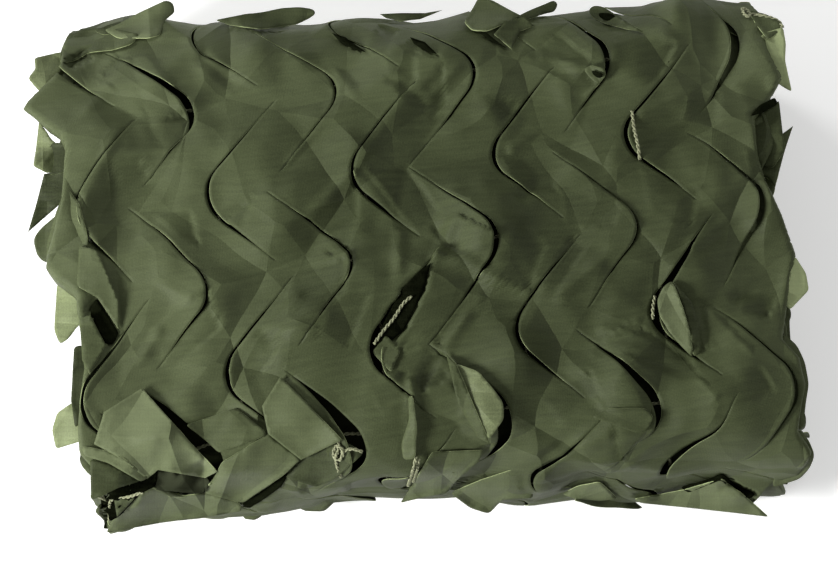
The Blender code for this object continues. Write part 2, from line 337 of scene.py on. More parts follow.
def gathered(index, values, total):
    """For each of total points, the sum of the values that an index gives to it."""
    return np.column_stack([np.bincount(index, values[:, k], total) for k in range(3)])


def settle(points, edges, lengths, stiffness, base, way_out, hold):
    """Lets a sheet's threads take their own lengths, so that slack in them becomes folds."""
    i, j = edges.T
    total = len(points)
    held = np.bincount(i, stiffness, total) + np.bincount(j, stiffness, total)
    share = 1 / np.maximum(held, 1e-9)
    start, drift = points.copy(), np.zeros_like(points)
    for _ in range(SETTLE_ROUNDS):
        way = points[j] - points[i]
        length = np.maximum(np.linalg.norm(way, axis=1), 1e-9)
        pull = way * (stiffness * (1 - lengths / length))[:, None]
        move = gathered(i, pull, total) - gathered(j, pull, total)
        drift = SETTLE_DRIFT * drift + move * share[:, None]
        points = points + drift
        points += (start - points) * hold[:, None]
        height = ((points - base) * way_out).sum(axis=1)
        points += way_out * np.maximum(PLY_CLEARANCE - height, 0)[:, None]
    return points


def unfold(points, faces, edges, way_out, free):
    """Evens out the few places where a sheet's grid has folded over itself."""
    i, j = edges.T
    total = len(points)
    many = np.maximum(np.bincount(i, minlength=total) + np.bincount(j, minlength=total), 1)
    for _ in range(UNFOLD_ROUNDS):
        a, b, c, d = (points[faces[:, k]] for k in range(4))
        side = (np.cross(c - a, d - b) * way_out[faces[:, 0]]).sum(axis=1)
        turned = faces[(side * np.sign(np.median(side)) <= 0) & free[faces].all(axis=1)]
        if not len(turned):
            break
        index = np.unique(turned)
        mean = gathered(i, points[j], total) + gathered(j, points[i], total)
        points[index] = mean[index] / many[index, None]
    return points


def grid_faces(number):
    """Faces between the rows and columns of an array of vertex numbers."""
    a, b = number[:-1, :-1].ravel(), number[:-1, 1:].ravel()
    c, d = number[1:, 1:].ravel(), number[1:, :-1].ravel()
    return np.stack([d, c, b, a], axis=1)


def sheet_faces(shape, turned_over=False):
    """The faces of a grid of that many rows and columns, as lists."""
    faces = grid_faces(np.arange(shape[0] * shape[1]).reshape(shape[:2]))
    return (faces[:, ::-1] if turned_over else faces).tolist()


def joined(parts):
    """The points, the faces and the rest of one piece, from those of its parts."""
    points, faces, *rest = zip(*parts)
    counts = np.cumsum([0] + [len(each) for each in points]).tolist()
    faces = [[i + count for i in face] for part, count in zip(faces, counts) for face in part]
    return [np.vstack(points), faces, *(np.concatenate(column) for column in rest)]


def make_mesh(name, points, faces, uvs=None, tone=None, materials=()):
    points = np.array(points)
    points[:, 2] = np.maximum(points[:, 2], 0 if name == "floor" else FLOOR_GAP)
    mesh = bpy.data.meshes.new(name)
    mesh.from_pydata([tuple(p) for p in points], [], faces)
    if uvs is not None:
        layer = mesh.uv_layers.new(name="cloth")
        index = np.zeros(len(mesh.loops), dtype=np.int32)
        mesh.loops.foreach_get("vertex_index", index)
        layer.data.foreach_set("uv", np.ascontiguousarray(uvs[index], dtype=np.float32).ravel())
        attribute = mesh.attributes.new("tone", "FLOAT", "POINT")
        attribute.data.foreach_set("value", np.ascontiguousarray(tone, dtype=np.float32))
    for material in materials:
        mesh.materials.append(material)
    mesh.shade_smooth()
    return add_object(name, mesh)


def make_cloth(name, points, faces, uvs, tone, materials):
    """A piece of cloth that rides with the bundle; three materials make it a thick one."""
    piece = make_mesh(name, points, faces, uvs, tone, materials)
    if len(materials) == 3:
        solid = piece.modifiers.new("thickness", "SOLIDIFY")
        solid.thickness = CLOTH
        solid.offset = -1
        solid.use_even_offset = False
        solid.material_offset = 1
        solid.material_offset_rim = 2
    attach(piece, "root")
    return piece


# ---- materials -------------------------------------------------------------------------

CREASES = 0.32  # slope of the creased coating's facets
CREASE_CELLS, CREASE_BEND = 18.0, 0.35
WARP, WEFT = 0.0007, 0.0006  # from thread to thread
# grey that the painted sheen adds
PAINTED_SHEEN_GREY = (0.0036, 0.0038, 0.0028)  # for 1 of tone


def new_material(name):
    """A material, a function that fills its shader's sockets, and one that adds a node."""
    material = bpy.data.materials.new(name)
    material.use_nodes = True
    tree = material.node_tree

    def fill(node, inputs):
        for key, value in inputs.items():
            if isinstance(value, bpy.types.NodeSocket):
                tree.links.new(value, node.inputs[key])
            else:
                node.inputs[key].default_value = value
        return node

    def add(kind, inputs, out=0, **settings):
        node = tree.nodes.new("ShaderNode" + kind)
        for key, value in settings.items():
            setattr(node, key, value)
        return fill(node, inputs).outputs[out]

    def finish(inputs):
        fill(tree.nodes["Principled BSDF"], inputs)

    return material, finish, add


def cloth_material(name, colour, roughness, gloss):
    material, finish, add = new_material(name)
    uv = add("UVMap", {}, uv_map="cloth")
    tone = add("Attribute", {}, "Fac", attribute_name="tone")

    def calc(kind, a, b=0.0):
        return add("Math", {0: a, 1: b}, operation=kind)

    def weighted(*terms):
        """The sum of values, each times its weight."""
        total = 0.0
        for value, weight in terms:
            total = add("Math", {0: value, 1: weight, 2: total}, operation="MULTIPLY_ADD")
        return total

    def noise(scale, detail, stretch=(1, 1, 1), distortion=0.0):
        place = add("Mapping", {"Vector": uv, "Scale": stretch})
        return add("TexNoise", {
            "Vector": place, "Scale": scale, "Detail": detail, "Distortion": distortion,
        })

    cloud = noise(24.0, 4.0)  # uneven dye
    streak = noise(500.0, 2.0, (0.12, 1, 1))  # slubs along the weft
    speck = noise(1500.0, 1.0)
    split = add("SeparateXYZ", {0: uv}).node.outputs
    across = calc("SINE", calc("MULTIPLY", split[0], math.tau / WARP))
    along = calc("SINE", calc("MULTIPLY", split[1], math.tau / WEFT))
    grain = weighted((across, 0.3), (along, 0.5), (speck, 2.6), (streak, 2.2))
    # the tone attribute lightens or darkens the dye: on the outer ply and the flaps it carries
    # painted light and shade, elsewhere a random tone
    level = weighted((tone, 0.10), (cloud, 0.45), (grain, 0.24), (0.24, 1.0))
    dyed = add("VectorMath", {0: colour, "Scale": level}, operation="SCALE")
    # painted sheen: where the tone is raised, grey is added as a glossy highlight would add it
    painted_sheen_colour = add(  # where it is paler it is greyer too
        "VectorMath", {0: calc("MAXIMUM", tone), 1: PAINTED_SHEEN_GREY, 2: dyed}, operation="MULTIPLY_ADD",
    )

    # flat facets between valleys along the edges of cells
    sway = add("TexNoise", {"Vector": uv, "Scale": CREASE_CELLS * 0.7}, "Color")
    bend = CREASE_BEND / CREASE_CELLS
    bent = add("VectorMath", {0: sway, 1: (bend, bend, 0.0), 2: uv}, operation="MULTIPLY_ADD")
    moved = add("VectorMath", {0: bent, 1: (0.0, 0.0, 0.3)}, operation="ADD")
    cell = {"Vector": moved, "Scale": CREASE_CELLS}
    edges = add("TexVoronoi", cell, "Distance", feature="DISTANCE_TO_EDGE")
    where = calc("POWER", calc("MULTIPLY", noise(18.0, 2.0), 1.8), 3.0)
    facets = calc("MULTIPLY", calc("DIVIDE", edges, CREASE_CELLS), where)
    wrinkle = weighted((facets, CREASES), (noise(150.0, 3.0, distortion=0.5), 0.00022))
    crease = add("Bump", {"Height": wrinkle, "Strength": 1.0, "Distance": 1.0})
    bump = add("Bump", {"Height": grain, "Strength": 0.30, "Distance": 0.00010, "Normal": crease})
    finish({
        "Base Color": painted_sheen_colour, "Roughness": roughness, "Specular IOR Level": gloss, "Normal": bump,
    })
    return material


def twine_material():
    material, finish, add = new_material("twine")
    place = add("TexCoord", {}, "Object")
    fibre = add("TexNoise", {"Vector": place, "Scale": 1400.0, "Detail": 3.0})
    shade = add("ValToRGB", {0: fibre})
    dark, light = shade.node.color_ramp.elements
    dark.position, dark.color = 0.3, (0.10, 0.11, 0.055, 1)
    light.position, light.color = 0.7, (0.30, 0.31, 0.185, 1)
    bump = add("Bump", {"Height": fibre, "Strength": 0.5, "Distance": 0.0002})
    finish({"Base Color": shade, "Roughness": 0.85, "Normal": bump})
    return material


FACE = cloth_material("cloth_face", (0.0450, 0.0548, 0.0240), 0.58, 0.09)
UNDER = cloth_material("cloth_underside", (0.125, 0.148, 0.068), 0.62, 0.20)
EDGE = cloth_material("cloth_cut_edge", (0.205, 0.240, 0.115), 0.80, 0.20)
# near-black cloth for the hollows between flaps and the plies under the outer ply: painted shade,
# for the shadow they lie in
PAINTED_SHADE = cloth_material("cloth_painted_shade", (0.009, 0.011, 0.005), 0.90, 0.0)
CLOTH_MATERIALS = (FACE, FACE, EDGE)
TWINE_MATERIAL = twine_material()

# ---- the outer ply ---------------------------------------------------------------------

FINE_ROWS, COARSE_ROWS = 56, 16  # in one period, where it shows and elsewhere
FIRST_ROW, FINE_FROM, FINE_TO, LAST_ROW = -2.5, -1.0, 4.0, 5.0
CELLS = 20  # between two zigzags
LINES = range(0, 11)
TIP_ROWS = range(-3, 7)
SLIT_GAP = 0.0011
WRAP_RADIUS, WRAP_REACH = 0.0017, 0.013  # of the fold at its ends, and the cloth past it
LEAST_BAND = 0.003  # kept between two lines at the ends
SLACK, SLACK_SWING = 0.006, 0.8  # of a thread's length, and how unevenly that lies
LIFTS, TIP_CURL, SWELLS = 0.65, 0.0001, 0.0014
REST_HEIGHT, LEAST_HEIGHT = 0.0034, 0.0002  # over the section's own surface
CREASED, CRUMPLED, RIBBONS = 0.0010, 0.0011, 0.0022  # heights of the creases, by kind
CRUMPLE_SIZE, RIBBON_SIZE, SWELL_SIZE, SLACK_SIZE = 0.019, 0.034, 0.060, 0.05
CREASE_LOW, CREASE_HIGH = (-0.05, -0.26), (0.40, 0.46)  # p and q of the creased cloth
BUCKLED = 0.10  # of a tongue's draw; for the rest it lies flat, away from its slit
HOLD, LIFTED_HOLD = 0.004, 0.02  # how firmly settling keeps a point where it starts
SETTLE_ROUNDS, SETTLE_DRIFT, PLY_CLEARANCE = 14, 0.6, 0.0002
UNFOLD_ROUNDS = 12
THREAD, DIAGONAL, BENDING = 1.0, 0.7, 0.15  # stiffness; the last keeps folds from being tight
BAND_TONE = 0.15  # how much the facets of a band differ in tone
FACING = 0.1  # towards the camera, at least, where the cloth shows

# Tongues by zigzag (from the left, even ones point left) and row of tips: how far the tip
# lifts, how far it is drawn back from the slit, and its slant along q (millimetres).
TONGUES = {
    # (zigzag, tip row): (lift, drawn back, along)
    (0, 0): (1, 0.2, -2.5), (1, 0): (3, 2, 3), (1, 1): (2, 0.2, 0), (1, 2): (0, 24, 2),
    (0, 1): (1.5, 0.6, 0), (2, 0): (0.6, 0.2, 0), (3, 0): (0.5, 0, 0), (2, 1): (1.5, 0.3, 0),
    (2, 2): (2, 0.8, 0), (3, 1): (2, 0.4, 0), (3, 2): (2, 6.5, 2), (4, 1): (2, 0.6, 0),
    (4, 2): (3, 4, 4), (5, 1): (2.5, 1.2, 0), (5, 2): (4, 6, 0), (6, 1): (2, 0.8, 0),
    (6, 2): (2, 0.6, 0), (7, 0): (3, 1.6, 2), (7, 1): (1.5, -0.4, 0), (7, 2): (3, 1.8, 3.5),
    (8, 1): (2.5, 1.2, 0), (8, 2): (4, 3, 3), (8, 3): (3, 1.8, 0), (9, 0): (5, 3.6, 0),
    (9, 1): (2, 1.6, 0), (9, 2): (3, 0.6, 0),
}

# Folds of the outer ply, from one pixel of the picture to another: how far the cloth rises
# there (millimetres, less than 0 for a trough) and how far to each side that reaches.
FOLDS = (
    # from u, from v, to u, to v, rise, reach
    (352, 178, 300, 228, 2, 9), (226, 222, 252, 196, -1.6, 7), (289, 162, 330, 120, 0.8, 5),
    (330, 255, 395, 215, -1.5, 9), (300, 300, 250, 345, 1.8, 10), (345, 260, 290, 262, 1.2, 6),
    (315, 340, 255, 325, 1.4, 7), (400, 232, 398, 300, 1.6, 8), (435, 262, 460, 215, 2.2, 8),
    (437, 258, 488, 268, 2, 7), (437, 258, 535, 298, 2.4, 8), (443, 352, 480, 300, 2, 8),
    (443, 352, 415, 380, -2, 7), (395, 345, 443, 352, 1.8, 7), (510, 150, 560, 120, 2, 9),
    (520, 200, 570, 160, -1.8, 9), (560, 300, 620, 250, 1.8, 10), (600, 330, 680, 352, 1.6, 9),
    (598, 350, 700, 378, -1.5, 8), (640, 120, 700, 90, 1.6, 9), (690, 250, 745, 210, 2, 9),
    (735, 300, 790, 275, -2.6, 10), (700, 350, 690, 300, 2, 8), (610, 430, 560, 450, 1.6, 9),
    (560, 420, 650, 395, 1.2, 8), (600, 470, 660, 440, 1.4, 7), (120, 130, 90, 200, 1.4, 8),
    (160, 200, 120, 260, -1.2, 9), (110, 90, 70, 130, 1.6, 9), (200, 60, 270, 110, -1.4, 9),
    (330, 60, 360, 110, 1.6, 8), (390, 80, 440, 120, -1.6, 8), (430, 100, 470, 60, 1.6, 8),
    (540, 60, 600, 75, 1.4, 8), (160, 330, 130, 380, 1.6, 9), (190, 300, 150, 280, 1.2, 8),
    (250, 440, 330, 400, 2.4, 10), (280, 470, 330, 440, -2, 8), (410, 380, 412, 460, 2.6, 8),
    (440, 420, 500, 450, -2.2, 9), (430, 475, 500, 440, 2.2, 8), (520, 470, 590, 420, -1.8, 9),
    (146, 481, 90, 455, 2.6, 7), (146, 481, 110, 430, 2.2, 7), (146, 481, 105, 478, -2.4, 6),
    (300, 480, 240, 490, 1.8, 8), (350, 485, 400, 470, -1.8, 8),
)

# Facets of the outer ply between creases, which rise or sink; their tone is painted light, a
# painted shade or highlight for less or more light than the cloth round them: tone, then corners by
# pixel and how far each rises or sinks (millimetres).
FACETS = (
    # tone, corners (u, v, rise)
    (0, (
        (95, 484, -4), (158, 466, -4), (214, 472, -4), (210, 498, -4), (150, 500, -4),
        (125, 520, -4), (104, 528, -4), (96, 505, -4))),
    (-1.3, ((97, 92, 0.2), (80, 76, -0.8), (82, 64, -0.4), (100, 60, -1))),
    (-1.6, ((97, 92, 0), (104, 72, -1.6), (120, 56, -1.2), (131, 62, 0.6))),
    (-1.9, ((226, 222, 0.5), (257, 194, -2), (240, 232, 0.5))),
    (-1.3, ((306, 222, 0.8), (352, 178, -0.6), (358, 205, -1.8), (346, 256, -1))),
    (-1.1, (
        (290, 275, 0.6), (345, 262, -1.4), (346, 298, -1.4), (318, 326, 0.6), (290, 312, 0.8))),
    (-1.4, ((362, 172, 0.8), (406, 168, -1.4), (440, 214, -1.4), (418, 236, 0.8))),
    (0.6, ((432, 228, -1), (456, 220, 1.2), (496, 240, 1.2), (490, 252, 0.4), (452, 262, -1))),
    (1.3, ((472, 284, 0.2), (478, 280, 1.8), (533, 297, 1.8), (528, 302, 0.2))),
    (-1.3, ((476, 291, 0.4), (528, 302, -0.8), (520, 324, -0.8), (478, 312, 0.6))),
    (-1.4, ((537, 292, 0.8), (572, 236, -1.4), (586, 250, -1.6), (556, 300, -0.4))),
    (-1.6, (
        (608, 351, 0.8), (640, 331, -1.2), (690, 358, -1.6), (700, 377, -0.6), (655, 381, 0.4))),
    (1, ((602, 346, 0.2), (606, 340, 1.6), (640, 319, 1.6), (641, 328, 0.2))),
    (-1.3, ((296, 52, 0.8), (322, 50, -1.4), (326, 76, -1.2), (300, 72, 0.4))),
    (-1.6, ((251, 38, 0.2), (262, 30, -1.4), (286, 28, -1.2), (270, 44, 0.4))),
    (-1.6, ((362, 50, 0.8), (382, 27, -1.4), (398, 33, -1.8), (384, 60, 0.2))),
    (-1.4, ((384, 60, 0.6), (418, 44, -1.4), (414, 88, -1.4), (396, 98, 0.4))),
    (-1.1, ((420, 90, 0.6), (444, 66, -1.2), (444, 108, -1.4), (428, 122, 0.4))),
    (-1.8, ((471, 92, 1), (498, 100, -1), (519, 106, -1.6), (508, 120, -1.2))),
    (-1.4, ((545, 74, 0.8), (586, 72, -1.2), (597, 84, -1.2), (584, 94, -0.4))),
    (-1.3, ((520, 60, 0.6), (560, 42, -0.8), (590, 60, -1.4), (545, 68, -0.4))),
    (-1.4, ((612, 48, 0.6), (676, 44, -1.2), (660, 80, -1.4), (646, 92, -0.2), (614, 74, 0.4))),
    (-1.3, ((732, 86, 0.9), (760, 76, -1.2), (774, 96, -1.6), (752, 112, 0))),
    (-1.1, ((744, 150, 0.8), (760, 150, -1.4), (766, 178, -1.8), (752, 190, -0.2))),
    (-1.3, ((150, 208, 0.6), (192, 214, -1.2), (198, 246, -1.4), (170, 232, 0.2))),
    (-0.6, ((110, 160, 0.6), (140, 160, -1), (156, 190, -1.2), (128, 210, 0.2))),
    (0.6, ((128, 60, -0.4), (150, 62, 1), (186, 106, 1.6), (150, 130, -0.4))),
    (-0.8, ((150, 330, 0.8), (206, 290, -1.2), (222, 330, -1.6), (170, 372, 0.2))),
    (-0.8, ((228, 372, 0.6), (262, 330, -1), (280, 350, -1.4), (244, 396, 0))),
    (-1.1, ((372, 396, 0.4), (404, 366, -1.2), (410, 392, -1.2), (380, 410, 0.4))),
    (-1.1, ((540, 398, 0.6), (590, 370, -1.4), (600, 396, -1.4), (560, 420, 0.2))),
    (-0.8, ((700, 384, 0.8), (760, 372, -1.2), (776, 392, -1.4), (730, 408, 0.2))),
    (-1.8, ((740, 292, 0.6), (778, 294, -2.8), (768, 318, -2.8), (742, 318, 0))),
    (-1, ((500, 160, 0.8), (548, 156, -1), (556, 190, -1.4), (518, 196, 0.4))),
    (-1, ((560, 190, 0.6), (620, 206, -1), (612, 230, -1), (566, 226, 0.4))),
    (-1.1, ((520, 218, 0.4), (545, 250, -1.2), (530, 290, -1.4), (500, 262, 0.2))),
    (-1, ((330, 300, 0.6), (370, 300, -1), (350, 350, -1.2), (320, 345, 0.4))),
    (0.7, ((395, 350, -0.4), (443, 353, 1.4), (432, 338, 1), (410, 330, -0.2))),
    (-1.3, ((403, 366, -0.2), (440, 355, 0.8), (450, 380, -1.4), (420, 392, -1.4))),
    (-1.6, ((413, 378, 0.2), (441, 357, 0.6), (436, 372, -1.2), (420, 390, -1.2))),
    (-1.6, ((447, 357, 0.4), (452, 360, -0.8), (462, 392, -1.2), (452, 385, 0.2))),
    (0.7, ((424, 392, -0.4), (452, 384, 0.8), (470, 412, 1.2), (440, 430, 0.2))),
    (-0.8, ((690, 90, 0.5), (720, 96, -1), (716, 126, -1), (684, 116, 0.3))),
    (-0.8, ((640, 170, 0.5), (700, 190, -1), (690, 230, -1.2), (650, 214, 0.3))),
    (0.7, ((700, 300, -0.3), (716, 318, 1), (752, 356, 1), (716, 350, -0.3))),
    (0.7, ((640, 388, -0.3), (700, 380, 1), (720, 400, 1), (668, 420, -0.3))),
)
FACET_BORDER, FACET_REACH = 7, 60  # pixels
FACET_START = 0.2  # of its tone, at its very edge
FOLD_START, FOLD_TAPER, FOLD_END = 4, 0.6, 0.1  # pixels, and shares of a fold's length and rise

# Where the folded end of the outer ply shows, down each side of the picture, and the part
# of the run that the picture shows.
EDGE_OUTWARD, EDGE_RUNS, EDGE_FADE = 0.002, (0.09, 0.52), 0.05
LEFT_EDGE = (
    # v, u
    (-20, 104), (20, 92), (30, 78), (36, 71), (43, 65), (50, 61), (66, 60), (90, 40), (105, 25),
    (112, 34), (128, 50), (136, 60), (150, 66), (180, 63), (200, 60), (217, 55), (250, 48),
    (263, 49), (277, 58), (295, 76), (330, 80), (370, 84), (400, 80), (430, 78), (452, 80),
    (468, 92), (485, 112), (500, 128), (515, 116), (530, 108),
)
RIGHT_EDGE = (
    (-20, 745), (6, 747), (20, 760), (50, 767), (80, 780), (95, 772), (115, 756), (140, 760),
    (180, 768), (215, 782), (255, 794), (290, 789), (335, 784), (355, 800), (384, 806), (404, 803),
    (432, 800), (454, 812), (478, 802), (488, 772), (500, 754), (515, 746), (540, 742),
)
FACET_PLACES = (
    # share of a slit's arm past its tongue's tip, middle height, spread (millimetres)
    (-1.0, -1.8, 2.6), (-0.5, 0.6, 3.8), (0.0, 0.9, 3.2), (0.5, 0.0, 3.8),
)


def in_slit(off):
    """Whether q, from a tongue's tip, lies in its slit."""
    return (off > -PERIOD / 2) & (off < PERIOD / 2 * SLIT_SHARE)


def slit_profile(q, zigzag, row):
    """1 at a tongue's tip, falling to 0 at its slit's two ends."""
    off = q - tip_q(zigzag, row)
    reach = np.where(off < 0, -PERIOD / 2, PERIOD / 2 * SLIT_SHARE)
    return smooth(1 - off / reach) * in_slit(off)


def slit_facets(seed):
    """Creases that run from the corners and ends of slits to the tips of the tongues."""
    chance = random.Random(seed)
    points, heights = [], []
    for zigzag in range(-2, 13):
        for row in TIP_ROWS:
            for place, middle, spread in FACET_PLACES:
                q = tip_q(zigzag, row) + place * PERIOD / 2
                p = float(zigzag_p(zigzag, np.array(q))) + chance.uniform(-0.003, 0.003)
                points.append((p, q + chance.uniform(-0.003, 0.003)))
                heights.append(chance.uniform(middle - spread, middle + spread))
    return Facets(points, heights)


def end_wrap(x, left, right):
    """Bends the cloth round the folds at the roll's two ends; also 1 before them, 0 past them."""
    inward, shown = np.zeros_like(x), np.ones_like(x)
    for end, fold in ((-1, -left), (1, right)):
        start = fold - WRAP_RADIUS
        past = end * x - start
        angle = np.clip(past / WRAP_RADIUS, 0, math.pi)
        beyond = np.maximum(past - math.pi * WRAP_RADIUS, 0)
        bent_x = end * (start + WRAP_RADIUS * np.sin(angle) - beyond)
        x = np.where(past > 0, bent_x, x)
        inward = inward + np.where(past > 0, WRAP_RADIUS * (1 - np.cos(angle)), 0)
        shown = shown * (1 - smooth(past / (math.pi * WRAP_RADIUS)))
    return x, -inward, shown


def end_places(q):
    """How far left and right the outer ply reaches at each q."""
    places = []
    for fold, edge in ((LEFT_FOLD, LEFT_EDGE), (RIGHT_FOLD, RIGHT_EDGE)):
        run = pattern_run(fold - PATTERN_X - COLUMN_LEAN * q, q)
        u, v = in_view(placed(np.full(len(q), fold), run, EDGE_OUTWARD))
        shift = (np.interp(v, *np.array(edge).T) - u) * PIXEL
        first, last = ((run - EDGE_RUNS[0]) / EDGE_FADE, (EDGE_RUNS[1] - run) / EDGE_FADE)
        places.append(fold + shift * smooth(first) * smooth(last))
    return places


def between(ring, places):
    """Heights at places from those of corners: their plane, and what each adds near it."""
    system = np.column_stack([ring[:, :2], np.ones(len(ring))])
    plane = np.linalg.lstsq(system, ring[:, 2], rcond=None)[0]
    rest = ring[:, 2] - system @ plane
    weights = 1 / (np.linalg.norm(places[:, None] - ring[None, :, :2], axis=2) ** 3 + 1)
    flat = np.column_stack([places, np.ones(len(places))]) @ plane
    return flat + weights @ rest / weights.sum(axis=1)


def inside_ring(ring, u, v):
    inside = np.zeros(len(u), dtype=bool)
    for (u0, v0, _), (u1, v1, _) in zip(ring, np.roll(ring, -1, axis=0)):
        crosses = (v0 > v) != (v1 > v)
        inside ^= crosses & (u < u0 + (u1 - u0) * (v - v0) / (v1 - v0 + 1e-9))
    return inside


def painted_light_gradient(u, v):
    """Painted light and shade over pixels of the picture: paler at both ends and at the back,
    darker at the front.
    """
    tone = 1.9 - 2.8 * smooth((u - 170) / 230) + 1.8 * smooth((u - 640) / 120)
    tone += (0.3 + 1.5 * smooth((u - 220) / 120)) * smooth((140 - v) / 60)
    return tone - 0.9 * smooth((v - 452) / 36)


def fold_heights(points):
    """The rise of the folds at points of the roll, in metres, and their tone, which is painted
    light: the broad painted gradient and each facet's painted shade or highlight.
    """
    u, v = in_view(points)
    total, tone = np.zeros(len(points)), painted_light_gradient(u, v)
    for from_u, from_v, to_u, to_v, rise, reach in FOLDS:
        length = math.hypot(to_u - from_u, to_v - from_v)
        way_u, way_v = (to_u - from_u) / length, (to_v - from_v) / length
        ahead = (u - from_u) * way_u + (v - from_v) * way_v
        aside = np.abs((u - from_u) * way_v - (v - from_v) * way_u)
        ends = smooth(1 + ahead / FOLD_START)
        ends = ends * smooth((length - ahead) / (FOLD_TAPER * length) + FOLD_END)
        total += rise * 1e-3 * np.maximum(1 - aside / reach, 0) * ends
    for facet_painted_light, corners in FACETS:
        ring = np.array(corners, dtype=float)
        middle_u, middle_v, _ = ring.mean(axis=0)
        near = (np.abs(u - middle_u) < FACET_REACH) & (np.abs(v - middle_v) < FACET_REACH)
        index = np.nonzero(near)[0]
        index = index[inside_ring(ring, u[index], v[index])]
        places = np.column_stack([u[index], v[index]])
        total[index] += between(ring, places) * 1e-3
        deep = np.full(len(index), 99.0)
        for a, b in zip(ring[:, :2], np.roll(ring[:, :2], -1, axis=0)):
            share = np.clip((places - a) @ (b - a) / ((b - a) @ (b - a)), 0, 1)
            deep = np.minimum(deep, np.linalg.norm(places - a - share[:, None] * (b - a), axis=1))
        tone[index] += facet_painted_light * smooth(FACET_START + deep / FACET_BORDER)
    return total, tone


def outer_grids():
    """The rows of q, and the zigzag lines that part the cloth into bands."""
    q = PERIOD * np.concatenate([
        np.arange(FIRST_ROW * COARSE_ROWS, FINE_FROM * COARSE_ROWS) / COARSE_ROWS,
        np.arange(FINE_FROM * FINE_ROWS, FINE_TO * FINE_ROWS) / FINE_ROWS,
        np.arange(FINE_TO * COARSE_ROWS, LAST_ROW * COARSE_ROWS + 1) / COARSE_ROWS,
    ])
    left, right = end_places(q)
    first = left - WRAP_REACH - PATTERN_X - COLUMN_LEAN * q
    last = right + WRAP_REACH - PATTERN_X - COLUMN_LEAN * q
    lines = [zigzag_p(zigzag, q) for zigzag in LINES]
    for i, line in enumerate(lines, 1):
        lines[i - 1] = np.clip(
            line, first + LEAST_BAND * i, last - LEAST_BAND * (len(lines) + 1 - i)
        )
    return q, left, right, [first, *lines, last]


def tongue_sizes():
    """The lift, draw and slant of every tongue, shown or not."""
    chance = random.Random(11)
    return {
        (zigzag, row): TONGUES.get(
            (zigzag, row),
            (chance.uniform(0.6, 2.2), chance.uniform(0.0, 1.2), chance.uniform(-0.6, 0.6)),
        )
        for zigzag in LINES
        for row in TIP_ROWS
    }


def slit_moves(band, u, q, sizes):
    """What the slits on both sides of a band do to it: each move at each point of its grid.

    The higher a move's power of near, the closer to its slit it stays.
    """
    lift, curl, trim, draw, along, loose = (np.zeros_like(q) for _ in range(6))
    for zigzag, near, way in ((band - 1, 1 - u, 1), (band, u, -1)):
        if zigzag not in LINES:
            continue
        for row in TIP_ROWS:
            profile = slit_profile(q, zigzag, row)
            trim += way * SLIT_GAP / 2 * np.minimum(1, 3 * profile) * near**4
            loose = np.maximum(loose, profile * near)
            if (way == 1) == (zigzag % 2 == 0):  # the tongue's side of the slit
                tongue_lift, tongue_draw, tongue_along = sizes[zigzag, row]
                shift = way * tongue_draw * 1e-3 * profile
                lift += LIFTS * tongue_lift * 1e-3 * profile * near
                curl += TIP_CURL * profile * near**12
                trim += (1 - BUCKLED) * shift * near**2
                draw += BUCKLED * shift * near**1.5
                along += tongue_along * 1e-3 * profile * smooth(near)
    return lift, curl, trim, draw, along, loose


def cloth_threads(numbers):
    """Pairs of points that a thread joins, and its stiffness."""
    pairs, stiff = [], []

    def add(a, b, weight):
        pairs.append(np.stack([a.ravel(), b.ravel()], axis=1))
        stiff.append(np.full(a.size, weight))

    for number in numbers:
        add(number[:, :-1], number[:, 1:], THREAD)
        add(number[:-1], number[1:], THREAD)
        add(number[:-1, :-1], number[1:, 1:], DIAGONAL)
        add(number[:-1, 1:], number[1:, :-1], DIAGONAL)
        add(number[:, :-2], number[:, 2:], BENDING)
        add(number[:-2], number[2:], BENDING)
    for band, following in zip(numbers, numbers[1:]):
        bridged = following[:, 0] == band[:, -1]
        add(band[bridged, -2], following[bridged, 1], BENDING)
    return np.vstack(pairs), np.concatenate(stiff)


